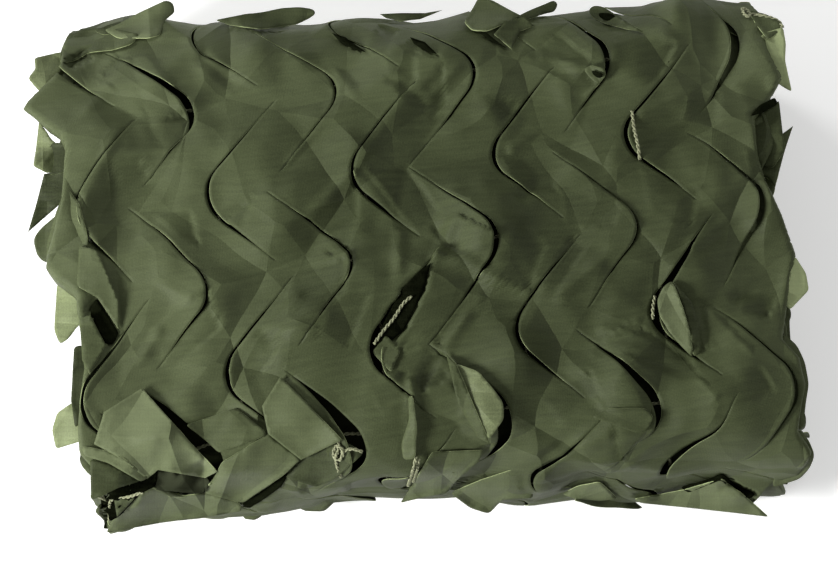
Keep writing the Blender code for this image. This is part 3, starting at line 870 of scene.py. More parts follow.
def make_outer_cloth():
    q, left, right, lines = outer_grids()
    left, right = left[:, None], right[:, None]
    rows, columns = len(q), CELLS + 1
    sizes = tongue_sizes()
    facets = slit_facets(3)
    crumple = random_facets(CREASE_LOW, CREASE_HIGH, CRUMPLE_SIZE, 4)

    bands, numbers = [], []
    for band in range(len(lines) - 1):
        u = np.linspace(0, 1, columns)[None, :]
        p = lines[band][:, None] * (1 - u) + lines[band + 1][:, None] * u
        qq = np.repeat(q[:, None], columns, axis=1)
        lift, curl, trim, draw, along, loose = slit_moves(band, u, qq, sizes)
        ribbon = random_facets(CREASE_LOW, CREASE_HIGH, RIBBON_SIZE, 100 + band)
        x, inward, shown = end_wrap(pattern_x(p + trim, qq), left, right)
        run = pattern_run(p + trim, qq)
        flat = placed(x, run, inward)
        out = placed(x, run, inward + 0.001) - flat
        out /= np.linalg.norm(out, axis=-1)[..., None]
        height = REST_HEIGHT + CREASED * facets(p, qq) + SWELLS * waves(p, qq, SWELL_SIZE, 21)
        height += CRUMPLED * crumple(p, qq) * smooth(0.4 + 0.6 * waves(p, qq, SWELL_SIZE, 8))
        height += RIBBONS * ribbon(p, qq) * np.maximum(loose - 0.1, 0) + lift + curl
        rise, tone = fold_heights(flat.reshape(-1, 3))
        height = np.maximum(height + rise.reshape(p.shape), LEAST_HEIGHT) * shown
        creased = placed(x, run, height + inward)
        x, inward, _ = end_wrap(pattern_x(p + trim + draw, qq), left, right)
        moved = placed(x, pattern_run(p + trim + draw, qq + along), height + inward)
        uneven = 1 + SLACK_SWING * waves(p, qq, SLACK_SIZE, 7)
        slack = np.maximum(SLACK * uneven * (1 + loose), 0)
        hold = HOLD + LIFTED_HOLD * (lift > 0.002)
        # painted light and shade from the gradient and the facets, kept only where the cloth faces
        # the camera; the band tone added next is random
        tone = tone.reshape(p.shape) * (out @ BACK > FACING)
        tone = BAND_TONE * ribbon(p * 0.5, qq * 0.5) + tone
        uv = np.stack([p, qq], axis=-1)
        bands.append((flat, creased, moved, out, slack, hold, shown > 0.99, tone, uv))
        numbers.append(np.arange(p.size).reshape(p.shape) + band * p.size)
    base, creased, start, way_out, slack, hold, free, tones, uvs = (
        np.concatenate([each.reshape(rows * columns, -1) for each in column]).squeeze()
        for column in zip(*bands)
    )

    # the bands are one cloth where a zigzag isn't cut
    same = np.arange(len(base))
    for zigzag in LINES:
        cut = np.any([in_slit(q - tip_q(zigzag, row) - 1e-6) for row in TIP_ROWS], axis=0)
        a, b = numbers[zigzag][~cut, -1], numbers[zigzag + 1][~cut, 0]
        start[a] = (start[a] + start[b]) / 2
        creased[a] = (creased[a] + creased[b]) / 2
        same[b] = a
    numbers = [same[number] for number in numbers]

    pairs, stiff = cloth_threads(numbers)
    lengths = np.linalg.norm(creased[pairs[:, 0]] - creased[pairs[:, 1]], axis=1)
    lengths *= 1 + (slack[pairs[:, 0]] + slack[pairs[:, 1]]) / 2
    points = settle(start, pairs, lengths, stiff, base, way_out, hold)
    grid = np.vstack([grid_faces(number) for number in numbers])
    points = unfold(points, grid, pairs, way_out, free)

    half, halves = len(numbers) // 2, []
    for name, part in (("outer_cloth_left", numbers[:half]), ("outer_cloth_right", numbers[half:])):
        faces = np.vstack([grid_faces(number) for number in part])
        used = np.zeros(len(points), dtype=bool)
        used[faces.ravel()] = True
        faces = (np.cumsum(used) - 1)[faces].tolist()
        piece = make_cloth(name, points[used], faces, uvs[used], tones[used], CLOTH_MATERIALS)
        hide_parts("camouflage_cloth")
        halves.append(piece)
    return halves, points[way_out @ BACK > FACING]


# ---- plies under it --------------------------------------------------------------------

FOLD_STEP = 0.0040  # from row to row along the roll, here and in its folded ends
PLY_INSET, PLY_PAST, PLY_COLUMNS = 0.008, 0.05, 80
PLY_CREASED, PLY_CREASE_SIZE = 0.0006, 0.03
UNDER_PLIES = (
    # name, outward, seed
    ("second_ply", -0.0058, 41), ("third_ply", -0.0076, 42),
)


def make_under_plies():
    """Plain turns under the outer ply, which show through its slits; they are near black, painted
    shade for the shadow they lie in.
    """
    made = []
    run = np.arange(0.0, TURN_RUNS[1] + PLY_PAST, FOLD_STEP)
    x = np.linspace(LEFT_FOLD + PLY_INSET, RIGHT_FOLD - PLY_INSET, PLY_COLUMNS)
    xx, rr = np.meshgrid(x, run)
    for name, outward, seed in UNDER_PLIES:
        creases = random_facets((-0.2, -0.1), (0.2, 0.8), PLY_CREASE_SIZE, seed)(xx, rr)
        points = placed(xx, rr, outward + PLY_CREASED * creases).reshape(-1, 3)
        uvs = np.stack([xx, rr], axis=-1).reshape(-1, 2)
        faces = sheet_faces(xx.shape, turned_over=True)
        made.append(make_cloth(name, points, faces, uvs, creases.ravel(), (PAINTED_SHADE,)))
    return made


# ---- the folded ends -------------------------------------------------------------------

END_FOLDS = 3  # at each end, in one turn
FOLD_INSET = {-1: 0.006, 1: 0.011}  # in from the outer ply's fold, by end
FOLD_HALF, FOLD_DEPTH = 0.00055, 0.016  # half its thickness, and how far in it reaches
FIRST_FOLD, NEXT_FOLD = -0.0008, -0.0015  # outward
FOLD_SWAY, FOLD_WAVE, FOLD_RISE = (0.0022, 0.09), (0.0012, 0.025), (0.0004, 0.05)
FOLD_TONE = (1, 0.12)  # like those, a ripple's height and size along the roll
FOLD_SEED = 200
FOLD_ENDS = ((-1, LEFT_FOLD, "left_end_folds"), (1, RIGHT_FOLD, "right_end_folds"))
FOLD_SECTION = np.array((
    # share of the depth, share of the half thickness
    (1.0, 1.0), (0.35, 1.0), (0.10, 0.9), (0.02, 0.5), (0.0, 0.0),
    (0.02, -0.5), (0.10, -0.9), (0.35, -1.0), (1.0, -1.0),
))


def make_end_folds():
    """Each turn is a strip folded to and fro, so its folds stack up at both ends."""
    made = []
    run = np.arange(0.0, RUN[-1] - FOLD_STEP, FOLD_STEP)
    for end, fold, name in FOLD_ENDS:
        parts = []
        for index in range(END_FOLDS):
            seed = FOLD_SEED + 10 * index + (end > 0)
            reach = end * fold - FOLD_INSET[end] + ripple(run, *FOLD_SWAY, seed)
            reach += ripple(run, *FOLD_WAVE, seed + 1)
            outward = FIRST_FOLD + NEXT_FOLD * index + ripple(run, *FOLD_RISE, seed + 2)
            x = end * (reach[:, None] - FOLD_DEPTH * FOLD_SECTION[:, 0])
            out = outward[:, None] + FOLD_HALF * FOLD_SECTION[:, 1]
            rr = np.repeat(run[:, None], len(FOLD_SECTION), axis=1)
            parts.append((
                placed(x, rr, out).reshape(-1, 3), sheet_faces(x.shape, turned_over=end < 0),
                np.stack([x, rr], axis=-1).reshape(-1, 2),
                np.repeat(ripple(run, *FOLD_TONE, seed + 3), len(FOLD_SECTION)),
            ))
        made.append(make_cloth(name, *joined(parts), (FACE,)))
    return made


# ---- lobes of the folded plies, past the roll's edges -----------------------------------

# Lobes at the front, from a root under the outer ply to a tip: pixels of the picture, and
# heights and widths in millimetres.
FRONT_LOBES = (
    # root u, v, height, tip u, v, height, width, shape, tone
    (270, 486, 30, 246, 516, 10, 12, "round", 0.8),
    (340, 480, 32, 305, 508, 10, 14, "round", 0.8),
    (575, 490, 26, 638, 512, 5, 11, "point", 0.6),
)
FRONT_ROLL, FRONT_CURL = -30, 0.002  # about a lobe's length (degrees), and up at its tip
LOBE_ROWS, LOBE_COLUMNS = 16, 8
SMALL_LOBES = 46  # at each end
LOBE_SHAPES = ("round", "round", "round", "corner")
LOBES_PAST = 3  # pixels, past the outer ply's edge
LOBE_TURNS = 5  # that small lobes grow from
LOBE_ROOT, LOBE_OUTWARD, LOBE_SPREAD = 0.016, -0.0050, 0.002  # in from the fold, and outward
LOBE_REACH, LOBE_SLANT = (-0.002, 0.008), 0.012  # past the fold, and along the roll
RIGHT_INSET = 0.006  # how much less they reach at the right end
LOBE_WIDTHS, LOBE_ROLL, LOBE_CURL = (0.014, 0.030), 12, 0.003  # the roll is in degrees
LOBE_TONES, PALE_LOBES = (-1.5, 0.3), 0.1  # the share that shows its underside
LOBE_BEND, LOBE_CUP, LEAST_HALF = 0.06, 0.10, 0.0002
LOBE_WAVES, LOBE_WAVE_SIZE = 0.0012, 0.016


def lobe_half_width(t, shape, half, length):
    """Half of a lobe's width at shares of its length."""
    if shape == "round":
        from_t = max(0.0, 1 - half / length)
        return half * np.sqrt(np.clip(1 - (np.maximum(t - from_t, 0) / (1 - from_t)) ** 2, 0, 1))
    return half * ((1 - t) ** 0.55 if shape == "point" else np.minimum(1, 1.35 * (1 - t)))


def lobe_part(lobe, seed):
    """A tongue of cloth from its root to its tip: its points, faces, flat places and tones."""
    root, tip, facing, width, shape, roll, curl, tone, pale = lobe
    length = np.linalg.norm(tip - root)
    ahead = (tip - root) / length
    facing = facing - ahead * (facing @ ahead)
    facing /= np.linalg.norm(facing)
    side = np.cross(ahead, facing)
    cos, sin = math.cos(math.radians(roll)), math.sin(math.radians(roll))
    facing, side = facing * cos + side * sin, side * cos - facing * sin
    t = np.linspace(0, 1, LOBE_ROWS)[:, None] ** 0.8
    across = np.linspace(-1, 1, LOBE_COLUMNS)[None, :]
    half = np.maximum(lobe_half_width(t, shape, width / 2, length), LEAST_HALF)
    a, b = t * length + 0 * across, across * half
    chance = random.Random(seed)
    bend = chance.uniform(-LOBE_BEND, LOBE_BEND)
    cup = chance.uniform(-LOBE_CUP, LOBE_CUP)
    rise = curl * t**2 + cup * across**2 * half + LOBE_WAVES * waves(a, b, LOBE_WAVE_SIZE, seed)
    b = b + bend * length * t**2
    points = root + a[..., None] * ahead + b[..., None] * side + rise[..., None] * facing
    flat = np.stack([a, b], axis=-1).reshape(-1, 2) + 0.05 * (seed % 1000)
    return points.reshape(-1, 3), sheet_faces(a.shape, not pale), flat, np.full(a.size, tone)


def small_lobes(end, fold, edge, seed):
    """Tips of tongues that stick out between the folds of the inner turns."""
    chance = random.Random(seed)
    for _ in range(SMALL_LOBES):
        run = chance.uniform(0.02, TURN_RUNS[LOBE_TURNS])
        outward = LOBE_OUTWARD - chance.uniform(0, LOBE_SPREAD)
        reach, slant = chance.uniform(*LOBE_REACH), chance.uniform(-LOBE_SLANT, LOBE_SLANT)
        reach -= RIGHT_INSET * (end > 0)
        tip_outward = outward + chance.uniform(-LOBE_SPREAD, LOBE_SPREAD)
        places = (
            (end * (fold - LOBE_ROOT), run, outward),
            (end * (fold + reach), run + slant, tip_outward),
            (end * (fold - LOBE_ROOT), run, outward + 0.001),
        )
        root, tip, above = (placed(*(np.array(each) for each in place)) for place in places)
        u, v = in_view(tip)
        past = end * (u - np.interp(v, *np.array(edge).T)) - LOBES_PAST
        tip = tip - np.array([end * max(past, 0) * PIXEL, 0, 0])
        shape, width = chance.choice(LOBE_SHAPES), chance.uniform(*LOBE_WIDTHS)
        roll, curl = chance.gauss(0, LOBE_ROLL), chance.uniform(-LOBE_CURL, LOBE_CURL)
        tone, pale = chance.uniform(*LOBE_TONES), chance.random() < PALE_LOBES
        yield root, tip, above - root, width, shape, roll, curl, tone, pale


def front_lobes():
    for u0, v0, z0, u1, v1, z1, width, shape, tone in FRONT_LOBES:
        root, tip = from_view(u0, v0, z0 * 1e-3), from_view(u1, v1, z1 * 1e-3)
        yield root, tip, BACK, width * 1e-3, shape, FRONT_ROLL, FRONT_CURL, tone, False


def make_lobes():
    sides = {
        "left_lobes": small_lobes(-1, -LEFT_FOLD, LEFT_EDGE, 5),
        "right_lobes": small_lobes(1, RIGHT_FOLD, RIGHT_EDGE, 6),
        "front_lobes": front_lobes(),
    }
    made = []
    for number, (name, lobes) in enumerate(sides.items(), 1):
        parts = [lobe_part(lobe, seed) for seed, lobe in enumerate(lobes, 1000 * number)]
        made.append(make_cloth(name, *joined(parts), CLOTH_MATERIALS))
    return made


# ---- flaps that lie over the outer ply or reach past its edges --------------------------

# Tongues and plies that were folded over as the roll was packed, and the hollows between
# them ("deep"), which are near-black sheets of painted shade. Each one's tone is painted light:
# raised for a painted highlight where a flap catches the light, lowered for painted shade.
# Each one's corners are pixels of the picture, with how far it lies above the
# outer ply there (millimetres).
FLAPS = (
    # name, material, tone, rounding, corners (u, v, above)
    ("corner_ply", "face", -2.5, 1, (
        (90, 459, 1), (112, 464, 1.8), (141, 481, 3), (118, 488, 2.8), (100, 497, 2.4),
        (91, 500, 1))),
    ("corner_opening", "deep", -8, 1, (
        (118, 488, 2.6), (142, 480, 2.6), (158, 470, 2.2), (156, 486, 2.6), (140, 494, 2.6),
        (120, 516, 2), (109, 522, 1), (108, 512, 1.5), (101, 510, 0.6), (101, 497, 1.5))),
    ("corner_strip", "face", -1, 0, (
        (114, 499, 3.2), (136, 497, 3.2), (126, 508, 3), (117, 517, 2.6))),
    ("pocket", "deep", 3, 1, (
        (157, 470, 1.8), (205, 476, 1.8), (210, 482, 1.6), (204, 494, 1.4), (155, 490, 1.6))),
    ("turned_tongue", "face", 6, 0, (
        (142, 388, 1.6), (104, 412, 0.8), (94, 444, 0.8), (120, 458, 1.6), (147, 479, 2.8),
        (158, 470, 3.6), (205, 478, 4), (217, 472, 4.4))),
    ("pleat", "face", 5, 1, (
        (82, 446, 0.8), (104, 450, 1.8), (122, 457, 2.4), (149, 477, 3.6), (141, 482, 3.4),
        (108, 463, 2.4), (84, 456, 0.8))),
    ("front_flap", "face", 1.6, 1, (
        (106, 533, -0.5), (112, 521, 1.8), (138, 496, 3.4), (152, 487, 3.4), (183, 496, 2.6),
        (205, 493, 2.4), (240, 503, 1.6), (242, 511, 0.6), (213, 516, 0.4), (160, 523, 0.4))),
    ("front_hem", "face", 5, 0, (
        (150, 487, 3.8), (168, 491, 3.4), (186, 497, 3), (170, 497, 3.2))),
    ("light_tongue", "face", 2.5, 1, (
        (268, 434, 1), (301, 459, 1.6), (283, 476, 2), (242, 503, 2), (204, 493, 1),
        (216, 474, 1.6), (222, 462, 1.2))),
    ("front_gap", "deep", -6, 0, (
        (284, 476, -0.8), (290, 472, -0.8), (281, 487, -0.8), (266, 498, -0.8),
        (250, 508, -0.8), (243, 507, -0.8), (243, 503, -0.8), (264, 490, -0.8))),
    ("grey_band", "face", 1, 1, (
        (186, 425, 0.6), (236, 408, 0.8), (264, 430, 1.6), (266, 436, 1.8), (219, 453, 1.4),
        (205, 440, 0.6))),
    ("ridge_tongue", "face", 2.5, 0, (
        (280, 377, 1.2), (300, 396, 2), (342, 440, 3), (301, 460, 1.6), (268, 434, 1.2),
        (262, 406, 0.8))),
    ("shaded_ply", "face", -3, 1, (
        (301, 460, 0.2), (341, 441, -1.2), (353, 446, -1.6), (364, 453, -1.6), (350, 466, -1),
        (335, 479, 0), (316, 487, 0.2), (285, 477, 0.6))),
    ("pale_ridge", "face", 2, 2, (
        (408, 395, 0.2), (413, 396, 1.4), (417, 430, 1.8), (415, 459, 1.6), (403, 460, 0.2),
        (401, 444, 0), (409, 420, 0))),
    ("wide_gap", "deep", -6, 0, (
        (373, 346, -1.8), (386, 318, -1.8), (400, 292, -1.8), (418, 272, -1.8),
        (431, 263, -1.4), (424, 290, -1.8), (404, 330, -1.8), (388, 344, -1.8))),
    ("gap_tab", "face", -0.5, 1, (
        (386, 335, -2), (401, 350, 0.4), (391, 372, 0.4), (372, 352, -2))),
    ("pale_lobe", "under", -2, 2, (
        (455, 363, 0.8), (478, 371, 1.2), (492, 387, 1.8), (503, 402, 2.2), (504, 419, 2.2),
        (489, 440, 1.6), (477, 417, 1), (463, 394, 0.8))),
    ("lobe_cover", "face", -0.5, 0, (
        (446, 354, 0.4), (456, 364, 2.6), (490, 444, 3.4), (478, 438, 0.6), (458, 404, 0.4))),
    ("rolled_lobe", "face", 5, 2, (
        (672, 280, 1), (663, 287, 0.9), (657, 300, 0.8), (659, 314, 0.8), (668, 330, 0.9),
        (680, 345, 1.2), (693, 358, 1.4), (692, 345, 3.4), (689, 328, 4), (684, 310, 4),
        (677, 292, 3.2))),
    ("rolled_shade", "face", -1.5, 1, (
        (674, 282, 1.6), (679, 296, 3.2), (685, 313, 3.9), (690, 333, 3.4), (694, 357, 1.4),
        (702, 352, 0.2), (701, 330, 0.2), (692, 302, 0.2))),
    ("tip_flap", "face", 0.5, 1, (
        (432, 452, 1.5), (484, 450, 1.5), (478, 463, 2), (455, 482, 2.4), (447, 493, 2),
        (425, 497, 1), (400, 503, 0), (412, 486, 1))),
    ("front_tongue", "face", 1, 2, (
        (450, 493, 1.2), (481, 480, 1.2), (524, 466, -3.5), (534, 498, -3.5), (502, 500, -0.6),
        (489, 514, -3), (470, 508, -2))),
    ("corner_flap", "face", 4, 1, (
        (722, 479, 3.2), (741, 493, 2.6), (757, 507, 0), (769, 517, -3), (735, 513, -2),
        (690, 508, -0.4), (640, 503, -1), (634, 499, 0.6), (684, 490, 2.4))),
    ("corner_slot", "deep", -6, 1, (
        (680, 487, -0.8), (700, 482, -0.8), (722, 474, -0.8), (738, 486, -0.8),
        (756, 494, -0.8), (750, 499, -0.8), (736, 494, -0.8), (721, 480, -0.8),
        (688, 493, -0.8))),
    ("tongue_foot", "face", -1, 1, (
        (592, 417, 0.6), (636, 433, 1.4), (647, 431, 1.6), (654, 417, 1.8), (645, 408, 1),
        (608, 408, 0.4))),
    ("top_corner", "face", 0.6, 2, (
        (59, 62, -1), (60, 52, -1.6), (65, 43, -2.4), (73, 35, -3.2), (82, 30, -3.6),
        (96, 28, -3), (116, 29, -1.2), (140, 34, 0), (132, 44, 0.6), (112, 50, 0.6),
        (90, 52, 0.6), (72, 62, 0.4))),
    ("back_flap", "face", 5, 1, (
        (104, 30, 0.6), (118, 24, -0.6), (140, 12, -2), (166, 0, -3), (173, 3, -3),
        (175, 12, -3), (164, 21, -2), (160, 35, -0.2), (148, 38, 0.6), (118, 38, 0.8))),
    ("back_under", "face", -2.5, 1, (
        (94, 31, -0.5), (108, 25, -1.5), (122, 21, -2), (124, 30, -0.4), (104, 35, 0))),
    ("back_lobe", "face", 1, 1, (
        (215, 20, 0.6), (240, 15, 0), (263, 12, 0), (282, 8, -1), (300, 7, -1), (313, 9, -2),
        (316, 13, -2), (310, 18, -1.5), (297, 24, 0.4), (262, 29, 1), (230, 25, 0.8))),
    ("back_blade", "face", -3, 0, (
        (380, 14, 0), (400, 13, -0.5), (425, 13, -1), (443, 10, -2), (420, 19, -0.5),
        (400, 21, 0.4), (386, 18, 0.4))),
    ("back_fold", "face", 2.2, 1, (
        (464, 22, 0.8), (474, 6, 0), (478, -2, -1), (492, 0, -1), (512, 11, 0), (522, 16, 0.6),
        (504, 24, 1.6), (487, 31, 2), (472, 30, 1.4))),
    ("back_shade", "face", -2, 0, (
        (494, 34, 0.5), (504, 23, 1.2), (524, 16, 1), (534, 26, 0.7), (520, 31, 0.5),
        (512, 49, 0.3))),
    ("back_slit", "deep", -5, 0, (
        (478, 32, -1), (487, 33, -1), (506, 48, -1), (492, 42, -1))),
    ("back_wedge", "deep", -5, 0, (
        (332, 33, -1), (345, 37, -1), (366, 52, -1), (356, 50, -1), (340, 42, -1))),
    ("back_wedge_2", "deep", -5, 0, (
        (410, 37, -1), (425, 42, -1), (437, 54, -1), (428, 52, -1), (414, 44, -1))),
    ("back_tip", "face", -1, 1, (
        (514, 18, 0.5), (530, 10, -0.5), (545, 4, -1.2), (554, 0, -2), (558, 4, -2),
        (555, 11, -1), (540, 15, 0.2), (526, 20, 0.5))),
    ("back_roll", "face", -1, 2, (
        (588, 10, 1.5), (594, 5, 2), (604, 7, 2.6), (618, 16, 2.6), (632, 25, 2),
        (646, 33, 0.8), (626, 29, 0.4), (604, 23, 0.4), (592, 17, 0.8))),
    ("back_roll_gap", "deep", -5, 2, (
        (597, 13, 3.4), (612, 13, 3.4), (621, 21, 3.2), (608, 21, 2.6), (600, 18, 2.4))),
    ("tucked_tab", "face", 1.5, 2, (
        (583, 69, 0.8), (590, 65, 2), (604, 68, 2.8), (607, 75, 2.4), (598, 85, 1.4),
        (590, 78, 0.8))),
    ("tucked_tab_gap", "deep", -5, 1, (
        (591, 70, 2.4), (604, 74, 3.2), (600, 79, 2.6), (593, 75, 2))),
    ("lower_pale", "face", 4, 1, (
        (562, 494, 0.4), (578, 486, 0.8), (600, 482, 0.8), (618, 499, 0.6), (600, 501, 0.4),
        (575, 499, 0.2))),
    ("right_lobe", "face", 0.6, 3, (
        (783, 333, -5), (797, 345, -6), (805, 362, -7), (809, 384, -8), (806, 402, -8),
        (803, 430, -6), (770, 422, -5), (774, 360, -4))),
    ("right_foot", "face", 1, 3, (
        (801, 428, -4), (809, 441, -5), (815, 455, -6), (810, 468, -7), (800, 479, -7),
        (772, 488, -5), (776, 460, -4), (790, 440, -3))),
    ("right_slot", "face", -4, 2, (
        (797, 440, -3), (794, 450, -3), (796, 464, -3.4), (802, 471, -4), (804, 462, -4))),
    ("pale_corner", "under", 12, 1, (
        (795, 256, -1.5), (806, 273, -2), (809, 290, -3), (790, 310, -3), (780, 296, -1.5),
        (781, 284, -1))),
    ("pale_end", "under", 9, 1, (
        (752, 46, -3), (764, 33, -2), (783, 27, -2), (786, 44, -3), (785, 60, -3),
        (792, 92, -5), (783, 87, -4.5), (766, 74, -4))),
    ("end_edge", "face", 2, 1, (
        (748, 10, -1), (766, 14, -1), (781, 22, -1.5), (783, 28, -1.5), (768, 40, 0),
        (756, 24, 0))),
    ("end_gap", "deep", -5, 1, (
        (751, 116, 0.6), (760, 105, 1), (775, 97, 1), (778, 104, 1), (762, 113, 0.8))),
    ("end_ply", "face", -0.6, 1, (
        (745, 122, -5), (757, 118, -4), (779, 100, -3), (783, 135, -4), (785, 150, -5),
        (773, 168, -5), (754, 163, -6))),
    ("end_tip", "face", 0, 0, (
        (793, 126, -8), (782, 134, -8), (750, 156, -8), (750, 172, -8), (768, 178, -7),
        (775, 187, -6), (785, 150, -8))),
    ("pale_chips", "under", -1, 1, (
        (34, 58, -7), (60, 52, -4), (78, 56, -6), (78, 72, -6), (60, 74, -4), (48, 86, -4),
        (40, 92, -5), (28, 78, -7), (36, 68, -7))),
    ("thin_flap", "under", -0.5, 1, (
        (39, 121, -5), (52, 140, -8), (62, 148, -12), (86, 150, -14), (86, 168, -14),
        (62, 170, -13), (47, 173, -10), (33, 166, -9), (36, 148, -8))),
    ("dark_lobe", "face", -3, 2, (
        (52, 142, -10), (66, 144, -9), (86, 147, -9), (86, 170, -9), (65, 172, -9),
        (50, 176, -11), (44, 160, -12))),
    ("dark_blade", "face", -3.5, 0, (
        (44, 174, -12), (64, 170, -10), (86, 172, -10), (86, 202, -11), (60, 204, -11),
        (28, 232, -14), (36, 205, -13))),
    ("low_lobe", "face", -0.5, 3, (
        (82, 214, -9), (60, 212, -10), (40, 229, -14), (33, 239, -15), (37, 256, -16),
        (46, 264, -16), (62, 250, -12), (82, 246, -10))),
    ("long_lobe", "face", 1.5, 3, (
        (66, 186, -1), (56, 212, -3), (47, 243, -6), (46, 265, -7), (58, 279, -7),
        (80, 288, -3), (88, 240, 0.2), (80, 205, 0.4))),
    ("left_pale", "under", 0.5, 2, (
        (57, 283, -9), (76, 284, -7), (98, 298, -7), (98, 318, -8), (78, 325, -8),
        (70, 337, -10), (60, 345, -12), (54, 330, -12), (56, 300, -11))),
    ("green_facet", "face", 2, 1, (
        (79, 246, 0.6), (97, 250, 0.8), (119, 300, 1.4), (119, 330, 1), (98, 298, 1.6),
        (77, 286, 1))),
    ("left_opening", "deep", -5, 1, (
        (96, 298, -1), (119, 333, -1), (113, 345, -1), (104, 343, -1), (90, 312, -1))),
    ("left_fold", "face", 0.5, 0, (
        (80, 318, 0.6), (90, 315, 1), (106, 345, 1.2), (90, 374, 1), (82, 360, 0.4))),
    ("left_slot", "face", -4, 1, (
        (74, 347, -3), (80, 345, -3), (94, 350, -4), (94, 420, -4), (80, 424, -3),
        (75, 428, -3), (71, 400, -4))),
    ("low_pale", "under", 0.5, 1, (
        (96, 404, -7), (80, 400, -6), (70, 404, -7), (57, 413, -9), (52, 430, -10),
        (56, 449, -10), (79, 442, -6), (96, 436, -7))),
)
FLAP_STEP = 3.0  # pixels
FLAP_CREASES, FLAP_FACET = 0.0003, 11.0  # metres high, and pixels from one to the next
BRIDGED = 8  # rounds, in which a flap spans the hollows under it
PRESSED = {"face": 6, "under": 6, "deep": 2.2}  # pixels, within which it presses what it lies on
PRESSED_FROM = {"face": 0.0, "under": 0.0, "deep": -0.002}  # where it lies higher than this
PRESSED_UNDER = 0.0012
PRESSED_FLAT, PRESSED_SLOPE = 2, 0.0006  # pixels, and the rise in each pixel past them
NEIGHBOURS, COUNTED = 16, 6  # the mean is of the next nearest to the camera, after the first
CLEAR_OF_EDGE = 0.6  # of a step, between a flap's edge and its inner points
FLAP_MATERIALS = {
    "face": (FACE, UNDER, EDGE), "under": (UNDER, FACE, EDGE), "deep": (PAINTED_SHADE, PAINTED_SHADE, PAINTED_SHADE),
}


class Ground:
    """How near the outer ply comes to the camera at each pixel of the picture."""

    def __init__(self, points):
        self.near = (points - AIM) @ BACK
        self.tree = picture_tree(*in_view(points))

    def __call__(self, u, v):
        found = self.tree.find_n((u, v, 0), NEIGHBOURS)
        nearest = sorted((self.near[i] for _, i, _ in found), reverse=True)
        return sum(nearest[1:1 + COUNTED]) / COUNTED

    def point(self, u, v, above, near=None):
        """The point that shows at a pixel, that far above the outer ply."""
        near = self(u, v) if near is None else near
        return EYE + sight(u, v) * (1 - (near + above) / DISTANCE)


def flap_outline(corners, rounding):
    ring = np.array(corners, dtype=float)
    edge = []
    for start, end in zip(ring, np.roll(ring, -1, axis=0)):
        steps = max(1, round(np.linalg.norm(end[:2] - start[:2]) / FLAP_STEP))
        edge += [start + (end - start) * i / steps for i in range(steps)]
    edge = np.array(edge)[:, :2]
    for _ in range(rounding):
        edge = (np.roll(edge, 1, axis=0) + 2 * edge + np.roll(edge, -1, axis=0)) / 4
    return ring, edge


def flap_mesh(corners, rounding, ground, seed):
    """A flap's points, faces, flat places, and how far above the outer ply it lies."""
    ring, edge = flap_outline(corners, rounding)
    low, high = edge.min(axis=0), edge.max(axis=0)
    across, down = (np.arange(low[k], high[k], FLAP_STEP) for k in (0, 1))
    inner = np.array([(u, v) for u in across for v in down])
    away = np.linalg.norm(inner[:, None] - edge[None], axis=2).min(axis=1)
    clear = away > CLEAR_OF_EDGE * FLAP_STEP
    places = [Vector(place) for place in np.vstack([edge, inner[clear]])]
    made = delaunay_2d_cdt(places, [], [list(range(len(edge)))], 1, 1e-6)
    used = sorted({i for face in made[2] for i in face})
    flat = np.array([tuple(made[0][i]) for i in used])
    faces = [[used.index(i) for i in face] for face in made[2]]
    above = between(ring, flat) * 1e-3
    above += FLAP_CREASES * random_facets(low - 20, high + 20, FLAP_FACET, seed)(*flat.T)
    lowest = np.array([ground(u, v) for u, v in flat])
    near, pairs = lowest, np.array([(f[i], f[i - 1]) for f in faces for i in range(len(f))])
    many = np.bincount(pairs.ravel(), minlength=len(flat))
    for _ in range(BRIDGED):
        total = np.bincount(pairs[:, 0], near[pairs[:, 1]], len(flat))
        total += np.bincount(pairs[:, 1], near[pairs[:, 0]], len(flat))
        near = np.maximum(total / many, lowest)
    points = [ground.point(u, v, rise, at) for (u, v), rise, at in zip(flat, above, near)]
    a, b, c = (flat[i] for i in faces[0][:3])
    if (b[0] - a[0]) * (c[1] - a[1]) - (b[1] - a[1]) * (c[0] - a[0]) > 0:
        faces = [face[::-1] for face in faces]
    return np.array(points), faces, flat, above


def press(piece, places, covers, reach):
    """Lays a cloth lower, along the lines of sight, where it would stand out through a cover."""
    limits = (covers - AIM) @ BACK - PRESSED_UNDER
    vertices = piece.data.vertices
    points = np.zeros(len(vertices) * 3, dtype=np.float32)
    vertices.foreach_get("co", points)
    points = points.reshape(-1, 3).astype(float)
    near, (u, v) = (points - AIM) @ BACK, in_view(points)
    (low_u, low_v), (high_u, high_v) = places.min(axis=0) - reach, places.max(axis=0) + reach
    close = (u > low_u) & (u < high_u) & (v > low_v) & (v < high_v) & (near > limits.min())
    tree = picture_tree(*places.T)
    for i in np.nonzero(close)[0]:
        _, found, away = tree.find((u[i], v[i], 0))
        over = near[i] - limits[found] - PRESSED_SLOPE * max(away - PRESSED_FLAT, 0)
        if away < reach and over > 0:
            points[i] -= (EYE - points[i]) * over / ((EYE - points[i]) @ BACK)
    vertices.foreach_set("co", np.ascontiguousarray(points, dtype=np.float32).ravel())
    piece.data.update()


def make_flaps(ground, under):
    """The flaps of the left half and of the right half."""
    made = [], []
    for seed, (name, kind, tone, rounding, corners) in enumerate(FLAPS):
        points, faces, flat, above = flap_mesh(corners, rounding, ground, seed)
        over = above > PRESSED_FROM[kind]
        if over.any():
            for piece in under:
                press(piece, flat[over], points[over], PRESSED[kind])
        # each flap's tone: a painted highlight or painted shade
        tones = np.full(len(points), tone)
        piece = make_cloth(name, points, faces, flat * PIXEL, tones, FLAP_MATERIALS[kind])
        made[corners[0][0] > VIEW_PIXELS[0] / 2].append(piece)
    return made


# ---- the net of twine ------------------------------------------------------------------

